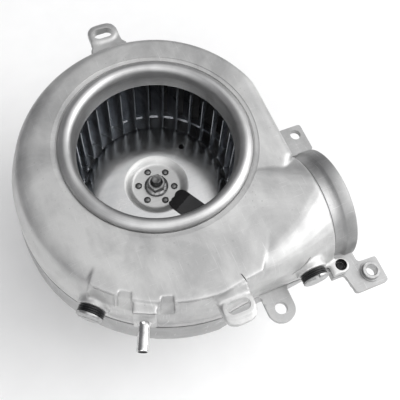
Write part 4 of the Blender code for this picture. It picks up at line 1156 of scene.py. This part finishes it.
def make_strip():
    """The stuck-on strip: a lumpy torn end over the seat's flank, then a flat tail on the plate."""
    inner_edge = [(-6.3, 16.2), (-5.6, 14.0), (-4.6, 13.0), (-3.0, 13.3), (-1.6, 12.8), (0.2, 13.2),
                  (1.6, 12.5), (3.2, 12.2), (4.6, 12.5), (5.8, 13.3), (6.6, 14.5), (7.0, 16.0)]
    level = PLATE_CREST + 0.3
    base_line = ((12.0, -49.8), (16.2, level), (35.0, level))
    lanes = spline(inner_edge, 3)
    turn = Matrix.Rotation(math.radians(-60.0), 2)
    reach = 35.0
    steps = 44
    bm = bmesh.new()
    upper = []
    under = []
    for offset, start in lanes:
        top_row = []
        low_row = []
        for k in range(steps + 1):
            along = start + (reach - start) * (k / steps) ** 1.25
            base = level
            for (first, first_z), (second, second_z) in zip(base_line, base_line[1:]):
                if first <= along <= second:
                    base = first_z + (second_z - first_z) * (along - first) / (second - first)
            x, y = turn @ Vector((along, offset))
            lump = 0.0
            if along < 20.0:
                lump = 0.28 * (noise.noise(Vector((x * 0.55, y * 0.55, 3.0))) - 0.35)
            top_row.append(bm.verts.new(at(x, y, base + 0.6 + min(lump, 0.0))))
            low_row.append(bm.verts.new(at(x, y, base)))
        upper.append(top_row)
        under.append(low_row)
    for rows in (upper, under):
        for first, second in zip(rows, rows[1:]):
            for k in range(steps):
                bm.faces.new((first[k], first[k + 1], second[k + 1], second[k]))
    for first, second in zip(zip(upper, under), zip(upper[1:], under[1:])):
        for end in (0, -1):
            bm.faces.new((first[0][end], second[0][end], second[1][end], first[1][end]))
    for top_row, low_row in ((upper[0], under[0]), (upper[-1], under[-1])):
        for k in range(steps):
            bm.faces.new((top_row[k], top_row[k + 1], low_row[k + 1], low_row[k]))
    strip = to_object("weight_strip", bm)
    piece(strip, TAPE, IMPELLER, "black_foil", "balance_strip", angle=50)
    back = turn.transposed()
    paint(strip, FOIL, lambda face: (back @ (face.center.xy / MM)).x > 19.6)


# ---- Motor ----

def refine_cad(node, material, width):
    """A CAD solid that keeps its shape: joined vertices, softened edges and a full material."""
    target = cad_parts[node]
    target.data.materials.clear()
    target.data.materials.append(material)
    if width > 0:
        weld = target.modifiers.new("weld", "WELD")
        weld.merge_threshold = 0.00001
        bevel = target.modifiers.new("soft_edges", "BEVEL")
        bevel.width = width * MM
        bevel.segments = 2
        bevel.limit_method = "ANGLE"
        bevel.angle_limit = math.radians(40)


def make_motor():
    finishes = (
        # The end shields take the darker cast copy: painted shade.
        (SHADED_BODY_METAL, 0.35, "front_end_shield", "rear_end_shield"),
        (SHAFT_STEEL, 0.25, "front_bearing", "rear_bearing"),
        (LAMINATION, 0.15, "stator_core", "rotor_core"),
        (COPPER, 0.9, "coil_1", "coil_2", "coil_3", "coil_4"),
        (FAN_PLASTIC, 0.2, "cooling_fan"),
        (RUBBER, 0.2, "shaft_seal"),
        (GASKET, 0.0, "housing_gasket"),
        (BLOCK_PLASTIC, 0.5, "terminal_block"),
        (BRASS, 0.15, "live_terminal", "earth_terminal", "neutral_terminal"),
    )
    for material, width, *nodes in finishes:
        for node in nodes:
            refine_cad(node, material, width)


# ---- Stage ----

def make_floor():
    bm = bmesh.new()
    bmesh.ops.create_grid(bm, x_segments=1, y_segments=1, size=3.0)
    floor = to_object("studio_floor", bm)
    g = Graph("floor_paper", 0.9, 0.0)
    grain = g.noise(60.0, 3.0, 0.5)
    tone = g.ramp(grain, [(0.3, (0.93, 0.93, 0.93)), (0.7, (0.95, 0.95, 0.95))])
    g.shader.inputs["Specular IOR Level"].default_value = 0.0
    floor.data.materials.append(g.finish(tone))


def make_world():
    world = bpy.data.worlds.new("studio")
    bpy.context.scene.world = world
    world.use_nodes = True
    nodes = world.node_tree.nodes
    links = world.node_tree.links
    background = nodes["Background"]
    place = nodes.new("ShaderNodeTexCoord")
    slope = nodes.new("ShaderNodeVectorMath")
    slope.operation = "DOT_PRODUCT"
    slope.inputs[1].default_value = (0.45, -0.27, 0.85)
    links.new(place.outputs["Generated"], slope.inputs[0])
    ramp = nodes.new("ShaderNodeValToRGB")
    ramp.color_ramp.elements[0].position = 0.30
    ramp.color_ramp.elements[0].color = (0.14, 0.14, 0.145, 1)
    ramp.color_ramp.elements[1].position = 0.92
    ramp.color_ramp.elements[1].color = (1.0, 1.0, 1.0, 1)
    middle = ramp.color_ramp.elements.new(0.62)
    middle.color = (0.34, 0.34, 0.345, 1)
    links.new(slope.outputs["Value"], ramp.inputs["Fac"])
    links.new(ramp.outputs["Color"], background.inputs["Color"])
    background.inputs["Strength"].default_value = 1.45


def area_light(name, place, target, size, power):
    data = bpy.data.lights.new(name, "AREA")
    data.shape = "RECTANGLE"
    data.size = size[0]
    data.size_y = size[1]
    data.energy = power
    light = bpy.data.objects.new(name, data)
    bpy.context.scene.collection.objects.link(light)
    light.location = place
    light.rotation_euler = (Vector(target) - Vector(place)).to_track_quat("-Z", "Y").to_euler()


def make_camera():
    scale = 0.9 * MM
    azimuth = math.radians(-29.5)
    elevation = math.radians(64.547)
    roll = math.radians(7.377)
    side = Vector((math.cos(azimuth), math.sin(azimuth), 0))
    back = Vector((
        math.sin(azimuth) * math.cos(elevation), -math.cos(azimuth) * math.cos(elevation),
        math.sin(elevation),
    ))
    up = back.cross(side)
    right = side * math.cos(roll) + up * math.sin(roll)
    rise = -side * math.sin(roll) + up * math.cos(roll)
    centre = (25.37 * right - 33.742 * rise + 374.41 * back) * scale + Vector((0, 0, TOP * MM))
    data = bpy.data.cameras.new("camera")
    data.sensor_width = 36.0
    data.lens = 650.2 / 400 * 36
    data.clip_start = 0.01
    camera = bpy.data.objects.new("camera", data)
    bpy.context.scene.collection.objects.link(camera)
    camera.matrix_world = Matrix.Translation(centre) @ Matrix((right, rise, back)).transposed().to_4x4()
    bpy.context.scene.camera = camera


make_camera()
make_world()
make_floor()
area_light("key", (0.8, -0.25, 0.65), (0.0, -0.02, 0.09), (0.8, 0.8), 6.0)
area_light("fill", (-0.6, -0.7, 0.9), (0.0, 0.0, 0.08), (0.9, 0.9), 4.0)
make_cover()
make_body()
make_inlet()
make_plugs()
make_nipple()
make_bush()
make_screws()
make_blades()
make_front_ring()
make_plate()
make_hub()
make_nut()
make_shaft()
make_strip()
make_motor()

scene = bpy.context.scene
scene.view_settings.view_transform = "Standard"
